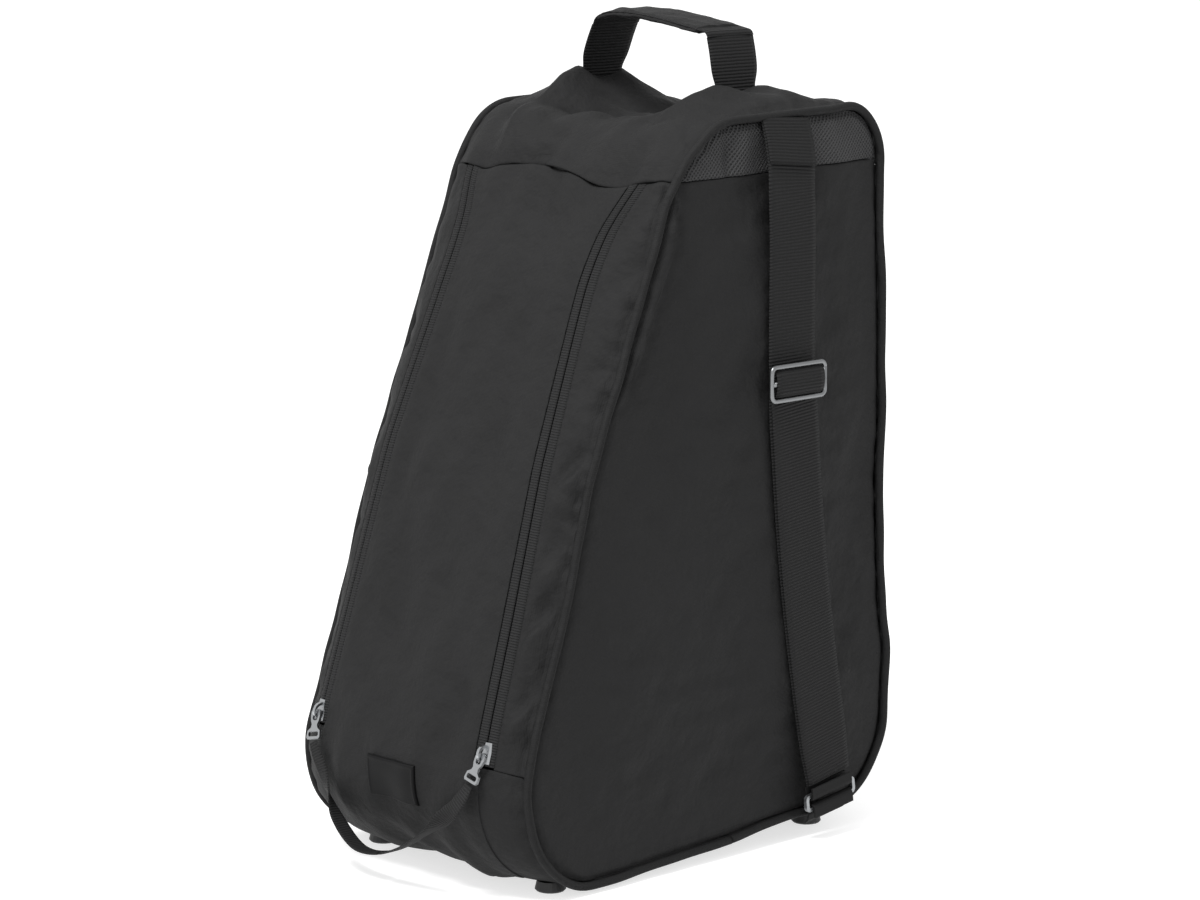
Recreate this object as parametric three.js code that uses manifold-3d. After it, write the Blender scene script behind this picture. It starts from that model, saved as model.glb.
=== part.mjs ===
// A bag for a pair of wellington boots, in millimetres.
// +Z is up, +Y points to the back, and +X to the side that carries the shoulder strap.
// The shell is a closed side outline in the YZ plane, swept across the width and puffed
// out between two piped side panels. Every sewn piece is a patch of that one surface.

import * as THREE from "three";
import { mergeVertices } from "three/addons/utils/BufferGeometryUtils.js";
import Module from "manifold-3d";

const wasm = await Module();
wasm.setup();

// ---- driving dimensions -------------------------------------------------------------

const halfWidth = 94; // from the middle of the bag to each line of piping
const baseHeight = 8; // underside of the shell above the floor
const bodyHeight = 430; // top line of the piping
const frontFootY = -163.5; // where the front line would meet the base
const frontTopY = -9; // where the front line would meet the top
const backTopY = 144;
const backFootY = 153;
const frontLowRadius = 50;
const frontTopRadius = 40;
const backTopRadius = 34;
const backLowRadius = 52;

const cloth = 1.5; // thickness of a sewn panel
const clearance = 0.4; // between pieces that touch
const seamGap = 0.8; // between two panels along a seam
const pipingRadius = 2.5;

const seamHeight = 75; // cross seam where the front strips end
const yokeHeight = 397; // seam between the front and the top panel
const backSeamHeight = 396;
const apronHeight = 24; // free lower edge of the flap
const meshHeight = 397; // seam below the airing mesh of each side

const zipLowX = 70.5; // the two zips draw together towards the top
const zipHighX = 53;
const zipLowHeight = 82.3; // middle of a closed slider
const zipChannel = 4.6; // half of the tape that shows between the panels
const zipFlat = 7; // flat margin outside each zip
const tapeThickness = 0.7;
const tapeWidth = 11;
const coilWidth = 2.2;
const coilThickness = 1.3;
const coilGap = 0.9; // from the middle of a zip to each half
const zipPuffLow = 16; // how far the zips stand in front of the piping
const zipPuffHigh = 12;

const sidePuff = 8;
const strapWidth = 38;
const webbing = 1.4;
const strapY = 57; // middle of the upper run of the shoulder strap
const strapTurnHeight = 270; // where the lower run starts to lean back
const strapFootY = 90;
const strapFootHeight = 38;
const strapX = 104.4; // inner face of the strap

const peakHeight = 9; // the top rises at the handle's legs and sinks between them
const valleyDepth = 8;
const valleyY = 32;

const handleY = 58;
const handleHalfSpan = 57; // from the middle to each leg of the handle
const handleTop = 484;
const legFoot = 443;
const legTop = 468;

const footRadius = 9;
const footX = 72;
const frontFootCentreY = -103;
const backFootCentreY = 108;

// ---- the side outline ----------------------------------------------------------------

// A clockwise rounded polygon in (y, z). Marks hold the running length at each tangent point.
function roundedOutline(start, corners) {
  const path = new THREE.Path();
  const marks = [];
  const points = corners.map((c) => new THREE.Vector2(c.y, c.z));
  path.moveTo(start.x, start.y);
  corners.forEach((corner, i) => {
    const before = i === 0 ? start : points[i - 1];
    const after = i === corners.length - 1 ? start : points[i + 1];
    const into = points[i].clone().sub(before).normalize();
    const out = after.clone().sub(points[i]).normalize();
    const turn = Math.acos(into.dot(out));
    const reach = corner.radius * Math.tan(turn / 2);
    const arcStart = points[i].clone().addScaledVector(into, -reach);
    const inward = new THREE.Vector2(into.y, -into.x);
    const centre = arcStart.clone().addScaledVector(inward, corner.radius);
    const angle = Math.atan2(arcStart.y - centre.y, arcStart.x - centre.x);
    path.lineTo(arcStart.x, arcStart.y);
    marks.push(path.getLength());
    path.absarc(centre.x, centre.y, corner.radius, angle, angle - turn, true);
    path.updateArcLengths();
    marks.push(path.getLength());
  });
  path.lineTo(start.x, start.y);
  path.updateArcLengths();
  return { path, marks, length: path.getLength() };
}

const outlineStart = new THREE.Vector2(20, baseHeight);
const outline = roundedOutline(outlineStart, [
  { y: frontFootY, z: baseHeight, radius: frontLowRadius },
  { y: frontTopY, z: bodyHeight, radius: frontTopRadius },
  { y: backTopY, z: bodyHeight, radius: backTopRadius },
  { y: backFootY, z: baseHeight, radius: backLowRadius },
]);
const [bottomFront, frontLow, frontHigh, topFront, topBack, backHigh, backLow, bottomBack] = outline.marks;

// Point and outward normal of the outline at a running length, moved in by an inset.
function onOutline(s, inset = 0) {
  const t = THREE.MathUtils.clamp(s / outline.length, 0, 1);
  const point = outline.path.getPoint(t);
  const step = 1e-4;
  const behind = outline.path.getPoint(Math.max(0, t - step));
  const ahead = outline.path.getPoint(Math.min(1, t + step));
  const along = ahead.sub(behind).normalize();
  const ny = -along.y;
  const nz = along.x;
  return { y: point.x - ny * inset, z: point.y - nz * inset, ny, nz };
}

// Running length at a height, searched between two marks.
function lengthAtHeight(height, low, high, inset = 0) {
  let a = low;
  let b = high;
  const rising = onOutline(high).z > onOutline(low).z;
  for (let i = 0; i < 40; i += 1) {
    const middle = (a + b) / 2;
    const below = onOutline(middle, inset).z < height;
    if (below === rising) a = middle;
    else b = middle;
  }
  return (a + b) / 2;
}

const seamLength = lengthAtHeight(seamHeight, bottomFront, frontHigh);
const yokeLength = lengthAtHeight(yokeHeight, frontLow, frontHigh);
const backSeamLength = lengthAtHeight(backSeamHeight, backHigh, backLow);
const apronLength = lengthAtHeight(apronHeight, bottomFront, frontLow);
const zipLowLength = lengthAtHeight(zipLowHeight, frontLow, frontHigh);

// ---- the puffed surface ----------------------------------------------------------------

// Half distance between the zips at a running length.
function zipX(s) {
  const t = (s - zipLowLength) / (yokeLength - zipLowLength);
  return THREE.MathUtils.lerp(zipLowX, zipHighX, THREE.MathUtils.clamp(t, -0.2, 1));
}

// How far the middle of the shell stands out from the piping round the outline.
function fullness(s) {
  const stations = [
    [0, 0.5],
    [bottomFront, 1],
    [frontLow, zipPuffLow],
    [yokeLength, zipPuffHigh],
    [topFront, 0],
    [topBack, 0],
    [backSeamLength, 8],
    [(backSeamLength + backLow) / 2, 14],
    [backLow, 12],
    [bottomBack, 1],
    [outline.length, 0.5],
  ];
  for (let i = 1; i < stations.length; i += 1) {
    const [from, low] = stations[i - 1];
    const [to, high] = stations[i];
    if (s <= to) return THREE.MathUtils.lerp(low, high, (s - from) / (to - from));
  }
  return stations[0][1];
}

// Flat between the zips, then rounded down to the piping.
function crossProfile(x, s) {
  const flat = zipX(s) + zipFlat;
  const t = (Math.abs(x) - flat) / (halfWidth - flat);
  return t <= 0 ? 1 : 1 - t * t;
}

// The top is drawn up at the handle's two legs and sinks between them.
function topShape(x, s) {
  if (s < yokeLength || s > backSeamLength) return 0;
  const y = onOutline(s).y;
  const bell = (distance, width) => Math.exp(-((distance / width) ** 2));
  const legs = peakHeight * bell(Math.abs(x) - handleHalfSpan, 20) * bell(y - handleY, 42);
  const valley = valleyDepth * bell(x, 34) * bell(y - valleyY, 34);
  const edge = 1 - (x / halfWidth) ** 8;
  return (legs - valley) * edge;
}

function shellPoint(x, s, offset) {
  const at = onOutline(s);
  const out = fullness(s) * crossProfile(x, s) + topShape(x, s) + offset;
  return new THREE.Vector3(x, at.y + at.ny * out, at.z + at.nz * out);
}

// ---- solids from grids and sections ------------------------------------------------------

function closedGeometry(positions, indices) {
  let volume = 0;
  const corner = (i) => new THREE.Vector3(positions[3 * i], positions[3 * i + 1], positions[3 * i + 2]);
  for (let i = 0; i < indices.length; i += 3) {
    const a = corner(indices[i]);
    volume += a.dot(corner(indices[i + 1]).cross(corner(indices[i + 2])));
  }
  if (volume < 0) indices.reverse();
  const geometry = new THREE.BufferGeometry();
  geometry.setAttribute("position", new THREE.Float32BufferAttribute(positions, 3));
  geometry.setIndex(indices);
  geometry.computeVertexNormals();
  return geometry;
}

// A curved plate between an outer and an inner face, both given over (u, v) from 0 to 1.
function plate(outer, inner, uSteps, vSteps) {
  const positions = [];
  const indices = [];
  const row = uSteps + 1;
  const layer = row * (vSteps + 1);
  for (const face of [outer, inner]) {
    for (let j = 0; j <= vSteps; j += 1) {
      for (let i = 0; i <= uSteps; i += 1) positions.push(...face(i / uSteps, j / vSteps).toArray());
    }
  }
  const quad = (a, b, c, d) => indices.push(a, b, c, a, c, d);
  for (let j = 0; j < vSteps; j += 1) {
    for (let i = 0; i < uSteps; i += 1) {
      const a = j * row + i;
      quad(a, a + 1, a + row + 1, a + row);
      quad(layer + a, layer + a + row, layer + a + row + 1, layer + a + 1);
    }
  }
  const wall = (a, b) => quad(b, a, a + layer, b + layer);
  for (let i = 0; i < uSteps; i += 1) {
    wall(i, i + 1);
    wall(vSteps * row + i + 1, vSteps * row + i);
  }
  for (let j = 0; j < vSteps; j += 1) {
    wall((j + 1) * row, j * row);
    wall(j * row + uSteps, (j + 1) * row + uSteps);
  }
  return closedGeometry(positions, indices);
}

// A patch of the shell over rows of running lengths. Its edges are functions of the running length.
function shellPatch({ rows, left, right, offset = 0, thickness = cloth, across }) {
  const steps = rows.length - 1;
  const face = (depth) => (u, v) => {
    const s = rows[Math.round(v * steps)];
    const x = THREE.MathUtils.lerp(left(s), right(s), u);
    return shellPoint(x, s, offset - depth);
  };
  return plate(face(0), face(thickness), across, steps);
}

// Even steps between two values, both ends included.
function evenly(from, to, steps) {
  return Array.from({ length: steps + 1 }, (_, i) => THREE.MathUtils.lerp(from, to, i / steps));
}

// A solid through rings of points, one ring per station, with a fan at each end.
function loft(rings) {
  const positions = rings.flat().flatMap((p) => p.toArray());
  const indices = [];
  const size = rings[0].length;
  for (let i = 0; i < rings.length - 1; i += 1) {
    for (let j = 0; j < size; j += 1) {
      const a = i * size + j;
      const b = i * size + ((j + 1) % size);
      indices.push(a, b, b + size, a, b + size, a + size);
    }
  }
  const last = (rings.length - 1) * size;
  for (let j = 1; j < size - 1; j += 1) {
    indices.push(0, j + 1, j);
    indices.push(last, last + j, last + j + 1);
  }
  return closedGeometry(positions, indices);
}

// Flat webbing along points; widthAt gives the direction across it at each one.
function ribbon(points, widthAt, width, thickness) {
  const rings = points.map((p, i) => {
    const before = points[Math.max(0, i - 1)];
    const after = points[Math.min(points.length - 1, i + 1)];
    const along = after.clone().sub(before).normalize();
    const across = widthAt(i / (points.length - 1)).clone();
    across.addScaledVector(along, -across.dot(along)).normalize();
    const face = new THREE.Vector3().crossVectors(along, across);
    const corner = (a, b) => {
      const beside = p.clone().addScaledVector(across, (a * width) / 2);
      return beside.addScaledVector(face, (b * thickness) / 2);
    };
    return [corner(-1, -1), corner(1, -1), corner(1, 1), corner(-1, 1)];
  });
  return loft(rings);
}

function toManifold(geometry) {
  const bare = geometry.clone();
  bare.deleteAttribute("normal");
  bare.deleteAttribute("uv");
  const merged = mergeVertices(bare, 1e-4);
  const mesh = new wasm.Mesh({
    numProp: 3,
    vertProperties: new Float32Array(merged.attributes.position.array),
    triVerts: new Uint32Array(merged.index.array),
  });
  return new wasm.Manifold(mesh);
}

function fromManifold(solid) {
  const mesh = solid.getMesh();
  const geometry = new THREE.BufferGeometry();
  geometry.setAttribute("position", new THREE.Float32BufferAttribute(mesh.vertProperties, 3));
  geometry.setIndex([...mesh.triVerts]);
  geometry.computeVertexNormals();
  return geometry;
}

function joined(...geometries) {
  const [first, ...rest] = geometries.map(toManifold);
  return fromManifold(rest.reduce((solid, next) => solid.add(next), first));
}

function roundedRectangle(shape, width, height, radius) {
  const w = width / 2;
  const h = height / 2;
  shape.absarc(w - radius, h - radius, radius, 0, Math.PI / 2, false);
  shape.absarc(-w + radius, h - radius, radius, Math.PI / 2, Math.PI, false);
  shape.absarc(-w + radius, -h + radius, radius, Math.PI, 1.5 * Math.PI, false);
  shape.absarc(w - radius, -h + radius, radius, 1.5 * Math.PI, 2 * Math.PI, false);
  return shape;
}

function extruded(shape, depth, curveSegments = 4) {
  const geometry = new THREE.ExtrudeGeometry(shape, { depth, bevelEnabled: false, curveSegments });
  return geometry.translate(0, 0, -depth / 2);
}

// ---- the assembly ------------------------------------------------------------------------

const bag = new THREE.Group();
const black = { nylon: 0x36363a, webbing: 0x2c2c30, mesh: 0x3a3a3d, plastic: 0x1d1d1f };

function add(name, geometry, color, roughness = 0.85, metalness = 0) {
  const material = new THREE.MeshStandardMaterial({ color, roughness, metalness });
  const mesh = new THREE.Mesh(geometry, material);
  mesh.name = name;
  bag.add(mesh);
  return mesh;
}

const sides = [
  { name: "right", sign: 1 },
  { name: "left", sign: -1 },
];

// Edges of a patch on one side, ordered from left to right whatever the side.
function band(sign, inner, outer) {
  return sign > 0
    ? { left: inner, right: outer }
    : { left: (s) => -outer(s), right: (s) => -inner(s) };
}

const pipingEdge = () => halfWidth - pipingRadius - clearance;

// ---- side panels, mesh and piping ----------------------------------------------------------

function buildSide({ name, sign }) {
  const inset = pipingRadius + clearance;
  const sideFace = (lowHeight, highHeight, depth) => (u, v) => {
    const z = THREE.MathUtils.lerp(lowHeight, highHeight, v);
    const front = onOutline(lengthAtHeight(z, bottomFront, topFront, inset), inset);
    const back = onOutline(lengthAtHeight(z, topBack, bottomBack, inset), inset);
    const y = THREE.MathUtils.lerp(front.y, back.y, u);
    const rise = (z - baseHeight - inset) / (bodyHeight - baseHeight - 2 * inset);
    const puff = sidePuff * (1 - (2 * u - 1) ** 4) * (1 - (2 * rise - 1) ** 4);
    return new THREE.Vector3(sign * (halfWidth + cloth / 2 + puff - depth), y, z);
  };
  const panelRange = [baseHeight + inset, meshHeight - seamGap / 2];
  const meshRange = [meshHeight + seamGap / 2, bodyHeight - inset];
  const panel = plate(sideFace(...panelRange, 0), sideFace(...panelRange, cloth), 10, 22);
  add(`side_panel_${name}`, panel, black.nylon);
  const mesh = plate(sideFace(...meshRange, 0), sideFace(...meshRange, cloth), 10, 6);
  add(`side_mesh_${name}`, mesh, black.mesh, 0.9);

  const cordSides = 8;
  const arcSteps = 12;
  const buttGap = 1;
  const stations = [buttGap / 2];
  for (let i = 0; i < outline.marks.length; i += 2) {
    stations.push(...evenly(outline.marks[i], outline.marks[i + 1], arcSteps));
  }
  stations.push(outline.length - buttGap / 2);
  const rings = [];
  for (const s of stations) {
    const at = onOutline(s);
    const ring = [];
    for (let j = 0; j < cordSides; j += 1) {
      const angle = (2 * Math.PI * j) / cordSides;
      const out = pipingRadius * Math.cos(angle);
      const across = pipingRadius * Math.sin(angle);
      ring.push(new THREE.Vector3(sign * halfWidth + across, at.y + at.ny * out, at.z + at.nz * out));
    }
    rings.push(ring);
  }
  add(`piping_${name}`, loft(rings), black.webbing, 0.7);
}
sides.forEach(buildSide);

// ---- top, back, bottom and front panels ------------------------------------------------------

function fullWidthPatch(name, rows, options = {}) {
  const patch = { rows, left: () => -pipingEdge(), right: pipingEdge, across: 14, ...options };
  add(name, shellPatch(patch), black.nylon);
}

const half = seamGap / 2;
const bottomSeamFront = bottomFront - 6;
const bottomSeamBack = bottomBack + 6;
fullWidthPatch(
  "top_panel",
  [
    ...evenly(yokeLength + half, topFront, 6),
    ...evenly(topFront, topBack, 8).slice(1),
    ...evenly(topBack, backSeamLength - half, 6).slice(1),
  ],
  { across: 20 },
);
fullWidthPatch("back_panel", [
  ...evenly(backSeamLength + half, backLow, 6),
  ...evenly(backLow, bottomSeamBack - half, 7).slice(1),
]);

// The lower front panel lies behind the flap's free apron.
const apronRecess = cloth + 2 * clearance;
const lowerFrontRows = evenly(bottomSeamFront + half, seamLength - half, 8);
fullWidthPatch("lower_front_panel", lowerFrontRows, { offset: -apronRecess });

const boardWidth = 172;
const boardDepth = 225;
const boardThickness = 2.5;
const boardHeight = 15.4; // underside of the stiff board, clear of the curl of the front panel
const boardTop = boardHeight + boardThickness;

function buildBottom() {
  const frontPart = bottomSeamFront - half;
  const backPart = outline.length - bottomSeamBack - half;
  const face = (depth) => (u, v) => {
    const s = THREE.MathUtils.lerp(frontPart, -backPart, v);
    const x = THREE.MathUtils.lerp(-pipingEdge(), pipingEdge(), u);
    return shellPoint(x, s < 0 ? s + outline.length : s, -depth);
  };
  add("bottom_panel", plate(face(0), face(cloth), 10, 6), black.nylon);

  const board = extruded(roundedRectangle(new THREE.Shape(), boardWidth, boardDepth, 14), boardThickness);
  board.translate(0, (frontFootCentreY + backFootCentreY) / 2, boardHeight + boardThickness / 2);
  add("base_board", board, 0x1b1b1d, 0.6);
}
buildBottom();

function buildStrip({ name, sign }) {
  const edges = band(sign, (s) => zipX(s) + zipChannel, pipingEdge);
  const rows = evenly(seamLength + half, yokeLength - half, 6);
  add(`front_strip_${name}`, shellPatch({ rows, across: 6, ...edges }), black.nylon);
}
sides.forEach(buildStrip);

// ---- the flap, its label and the two zips ------------------------------------------------------

const hingeGap = 1.2;
const apronEdge = zipX(seamLength) - 1;
const flapEdge = (s) => (s < seamLength ? apronEdge : zipX(s) - zipChannel);
const flapRows = [
  ...evenly(apronLength, seamLength - 2, 8),
  ...evenly(seamLength, yokeLength - hingeGap, 6),
];
const flapPatch = { rows: flapRows, left: (s) => -flapEdge(s), right: flapEdge, across: 6 };
add("front_flap", shellPatch(flapPatch), black.nylon);

function buildLabel() {
  const labelHeight = 59;
  const labelWidth = 40;
  const labelHalfHeight = 9;
  const lift = 0.9;
  const middle = lengthAtHeight(labelHeight, bottomFront, frontLow);
  const rows = evenly(middle - labelHalfHeight, middle + labelHalfHeight, 4);
  const patch = { rows, left: () => -labelWidth / 2, right: () => labelWidth / 2, across: 2 };
  add("label_patch", shellPatch({ ...patch, offset: clearance + lift, thickness: lift }), 0x2a2a2c, 0.5);
}
buildLabel();

const tapeDepth = cloth + clearance;
const zipRows = evenly(seamLength + 3, yokeLength - 6, 4);

function buildZip({ name, sign }) {
  for (const part of ["outer", "inner"]) {
    const direction = part === "outer" ? 1 : -1;
    const reach = (near, far) => {
      const low = (s) => zipX(s) + direction * near;
      const high = (s) => zipX(s) + direction * far;
      return direction > 0 ? band(sign, low, high) : band(sign, high, low);
    };
    const tape = { rows: zipRows, offset: -tapeDepth, thickness: tapeThickness, across: 2 };
    add(`zip_tape_${part}_${name}`, shellPatch({ ...tape, ...reach(coilGap, tapeWidth) }), 0x2b2b2e, 0.8);
    const coilDepth = tapeDepth + tapeThickness + clearance;
    const coil = { rows: zipRows, offset: -coilDepth, thickness: coilThickness, across: 1 };
    const coilReach = reach(coilGap, coilGap + coilWidth);
    add(`zip_coil_${part}_${name}`, shellPatch({ ...coil, ...coilReach }), 0x242426, 0.5);
  }
}
sides.forEach(buildZip);

// ---- sliders and pulls ---------------------------------------------------------------------------

const frontTilt = Math.atan2(onOutline(zipLowLength).nz, -onOutline(zipLowLength).ny);
const zipLean = Math.atan2(zipLowX - zipHighX, yokeLength - zipLowLength);

// Turns a piece made with +Y up the zip and +Z out of the bag into its place on one zip.
function placeOnZip(geometry, sign) {
  geometry.rotateZ(sign * zipLean);
  geometry.rotateX(Math.PI / 2 - frontTilt);
  const at = shellPoint(sign * zipX(zipLowLength), zipLowLength, 0);
  return geometry.translate(at.x, at.y, at.z);
}

const sliderWidth = 10.5;
const sliderLength = 12;
const sliderPlate = 1.5;
const sliderFront = -tapeDepth + clearance + 0.25 + sliderPlate;
const sliderInner = -tapeDepth - tapeThickness - clearance - coilThickness - clearance - 0.3;

// An I section: the web passes between the two halves of the zip.
function sliderBody() {
  const wide = sliderWidth / 2;
  const narrow = zipChannel - 0.6;
  const web = coilGap - clearance;
  const under = sliderFront - sliderPlate;
  const rightSide = [
    [web, under],
    [narrow, under],
    [narrow - 0.8, sliderFront],
  ];
  const mirrored = ([x, y]) => [-x, y];
  const lower = [
    [wide, sliderInner - sliderPlate],
    [wide, sliderInner],
    [web, sliderInner],
  ];
  const rightOutline = [...lower, ...rightSide];
  const leftOutline = rightOutline.map(mirrored).reverse();
  const corners = [...rightOutline, ...leftOutline].map(([x, y]) => new THREE.Vector2(x, y));
  return extruded(new THREE.Shape(corners), sliderLength).rotateX(Math.PI / 2);
}

// The arch that holds the pull, drawn in the plane along the zip: x points up the zip here.
const bailHalf = 4.6;
const bailClear = 2.9; // half of the space inside the arch
const bailHeight = 5.2;
const bailClearHeight = 3.6;
const bailFoot = -0.4;
const bailWidth = 1.8;

function sliderBail() {
  const arch = new THREE.Shape();
  arch.moveTo(bailHalf, bailFoot);
  arch.quadraticCurveTo(bailHalf - 1, bailHeight, -0.8, bailHeight);
  arch.quadraticCurveTo(-bailHalf, bailHeight, -bailHalf, 2.2);
  arch.lineTo(-bailHalf, bailFoot);
  arch.lineTo(-bailClear, bailFoot);
  arch.lineTo(-bailClear, 2);
  arch.quadraticCurveTo(-bailClear, bailClearHeight, -0.8, bailClearHeight);
  arch.quadraticCurveTo(bailClear - 0.5, bailClearHeight, bailClear, bailFoot);
  const bail = extruded(arch, bailWidth, 4).rotateX(Math.PI / 2).rotateZ(Math.PI / 2);
  return bail.translate(0, 0, sliderFront);
}

const pullPivot = { y: -1.4, z: sliderFront + 1.9 };
const pullRestAngle = THREE.MathUtils.degToRad(1);
const pullLean = THREE.MathUtils.degToRad(15);
const pullThickness = 1.6;
const pullEnd = -16.5;
const pullLoopY = -13.6; // middle of the loop that holds the tape

function holePath(width, height, radius, y) {
  const outlineShape = roundedRectangle(new THREE.Path(), width, height, radius);
  const points = outlineShape.getPoints(4).map((p) => new THREE.Vector2(p.x, p.y + y));
  return new THREE.Path(points);
}

// An hourglass plate with an eye for the bail and a wide loop for the tape. Its pivot is at the origin.
function pullPlate() {
  const halfWidths = [
    [0.95, 2.2],
    [0, 3.6],
    [-2.6, 3.8],
    [-5.6, 3.3],
    [-8, 2.2],
    [-9.8, 2.7],
    [-11.6, 5.1],
    [-15.4, 5.5],
    [pullEnd, 4.6],
  ];
  const right = halfWidths.map(([y, half]) => new THREE.Vector2(half, y));
  const left = halfWidths.map(([y, half]) => new THREE.Vector2(-half, y)).reverse();
  const shape = new THREE.Shape([...right, ...left]);
  shape.holes.push(holePath(4.2, 4.6, 1.6, -3.25), holePath(8.2, 2.8, 1.2, pullLoopY));
  return extruded(shape, pullThickness, 4);
}

// Turns a pull's own place into the place on its zip: hanging in the bail and leaning to the middle.
function hangPull(geometry, sign) {
  const legY = -(bailHalf + bailClear) / 2;
  geometry.rotateX(-pullRestAngle).translate(0, pullPivot.y - legY, pullPivot.z);
  geometry.rotateZ(-sign * pullLean).translate(0, legY, 0);
  return placeOnZip(geometry, sign);
}

function buildSlider({ name, sign }) {
  const slider = joined(sliderBody(), sliderBail());
  add(`slider_${name}`, placeOnZip(slider, sign), 0xb9bbbd, 0.3, 1);
  add(`pull_${name}`, hangPull(pullPlate(), sign), 0xb9bbbd, 0.3, 1);
}
sides.forEach(buildSlider);

// ---- the pull tape ---------------------------------------------------------------------------------

// The tape hangs from one pull to the other. Its points run from the right pull to the left one.
const tapeRoute = [
  [67.3, -160.4, 70.4],
  [65.4, -162.4, 65.4],
  [60, -165.4, 56.5],
  [52.7, -166.2, 50],
  [43.8, -166.4, 42.5],
  [31, -165.2, 34.4],
  [16, -163.8, 25.7],
  [1, -162.5, 19.3],
  [-13, -161.5, 15.9],
  [-24, -160.8, 15.6],
  [-32, -160.2, 17.9],
  [-39, -159.9, 22.3],
  [-45.5, -159.6, 28],
  [-50.5, -159.4, 34],
  [-54.8, -159.6, 43],
  [-59.8, -160.3, 56],
  [-64.4, -160.9, 65.4],
  [-67.3, -160.4, 70.4],
].map((p) => new THREE.Vector3(...p));
const pullTapeWidth = 10;
const pullTapeThickness = 1.2;

function buildPullTape() {
  const curve = new THREE.CatmullRomCurve3(tapeRoute, false, "centripetal");
  const steps = 44;
  const points = evenly(0, 1, steps).map((t) => curve.getPointAt(t));
  const facing = new THREE.Vector3(1, 0, 0);
  const lying = new THREE.Vector3(0, 1, 0);
  const widthAt = (t) => {
    const fromEnd = Math.min(t, 1 - t);
    const turned = THREE.MathUtils.smoothstep(fromEnd, 0.02, 0.3);
    const direction = t < 0.5 ? lying : lying.clone().negate();
    return facing.clone().lerp(direction, turned);
  };
  return ribbon(points, widthAt, pullTapeWidth, pullTapeThickness);
}

add("pull_tape", buildPullTape(), 0x222225, 0.8);

// ---- the carrying handle -----------------------------------------------------------------------------

const handleWidth = 38;
const legThickness = 1.6;
const sleeveThickness = 1.4;

function handleStation(x, z) {
  return new THREE.Vector3(x, handleY, z);
}

function buildHandle() {
  const deep = () => new THREE.Vector3(0, 1, 0);
  for (const { name, sign } of sides) {
    const anchorFrom = handleHalfSpan + 3;
    const anchorTo = pipingEdge() - 1;
    const face = (depth) => (u, v) => {
      const x = sign * THREE.MathUtils.lerp(anchorFrom, anchorTo, u);
      const s = topLengthAt(handleY + handleWidth * (v - 0.5));
      return shellPoint(x, s, clearance + webbing - depth);
    };
    add(`handle_anchor_${name}`, plate(face(0), face(webbing), 4, 6), black.webbing);

    const leg = [handleStation(sign * handleHalfSpan, legFoot), handleStation(sign * handleHalfSpan, legTop)];
    add(`handle_leg_${name}`, ribbon(leg, deep, handleWidth, legThickness), black.webbing);
  }
  const arch = new THREE.CatmullRomCurve3([
    handleStation(-handleHalfSpan, legTop + clearance),
    handleStation(-handleHalfSpan + 1, legTop + 7),
    handleStation(-handleHalfSpan + 10, handleTop - 3.5),
    handleStation(-22, handleTop - 1.8),
    handleStation(22, handleTop - 1.8),
    handleStation(handleHalfSpan - 10, handleTop - 3.5),
    handleStation(handleHalfSpan - 1, legTop + 7),
    handleStation(handleHalfSpan, legTop + clearance),
  ]);
  add("handle_grip", ribbon(arch.getSpacedPoints(28), deep, handleWidth, legThickness), black.webbing);
}

// Running length of the top line at a depth.
function topLengthAt(y) {
  return topFront + (y - onOutline(topFront).y);
}
buildHandle();

// A folded sleeve sewn round the grip: an open channel below the webbing.
function buildSleeve() {
  const sleeveHalfLength = 38;
  const gripZ = handleTop - 1.8 - legThickness / 2;
  const halfInside = handleWidth / 2 + clearance;
  const depthOfWalls = 7;
  const channel = new THREE.Shape();
  channel.moveTo(-halfInside - sleeveThickness, 4);
  channel.lineTo(-halfInside - sleeveThickness, -depthOfWalls);
  channel.lineTo(halfInside + sleeveThickness, -depthOfWalls);
  channel.lineTo(halfInside + sleeveThickness, 4);
  channel.lineTo(halfInside, 4);
  channel.lineTo(halfInside, -depthOfWalls + sleeveThickness);
  channel.lineTo(-halfInside, -depthOfWalls + sleeveThickness);
  channel.lineTo(-halfInside, 4);
  const sleeve = extruded(channel, 2 * sleeveHalfLength).rotateX(Math.PI / 2).rotateZ(Math.PI / 2);
  add("handle_sleeve", sleeve.translate(0, handleY, gripZ), 0x303034);
}
buildSleeve();

// ---- the shoulder strap on the right side --------------------------------------------------------------

const sideWays = () => new THREE.Vector3(0, 1, 0);
const lowerLean = Math.atan2(strapFootY - strapY, strapTurnHeight - strapFootHeight);
const acrossLowerRun = () => new THREE.Vector3(0, Math.cos(lowerLean), Math.sin(lowerLean));
const strapCentreX = strapX + webbing / 2;

// A point of the strap's lower run at a height, moved out from the panel.
function onLowerRun(height, out) {
  const t = (strapTurnHeight - height) / (strapTurnHeight - strapFootHeight);
  return new THREE.Vector3(strapCentreX + out, THREE.MathUtils.lerp(strapY, strapFootY, t), height);
}

const returnOut = webbing + 0.8;
const glideHeight = 278;
const glideWidth = 47;
const glideTall = 22.5;
const glideThickness = 3;
const glideOut = 5.2;

// Turns a piece drawn in the XY plane to face +X on the lower run, with its top leaning by an angle.
function layOnStrap(geometry, height, out, lean) {
  geometry.rotateX(Math.PI / 2).rotateZ(Math.PI / 2).rotateX(lean);
  const at = onLowerRun(height, out);
  return geometry.translate(at.x, at.y, at.z);
}

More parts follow.
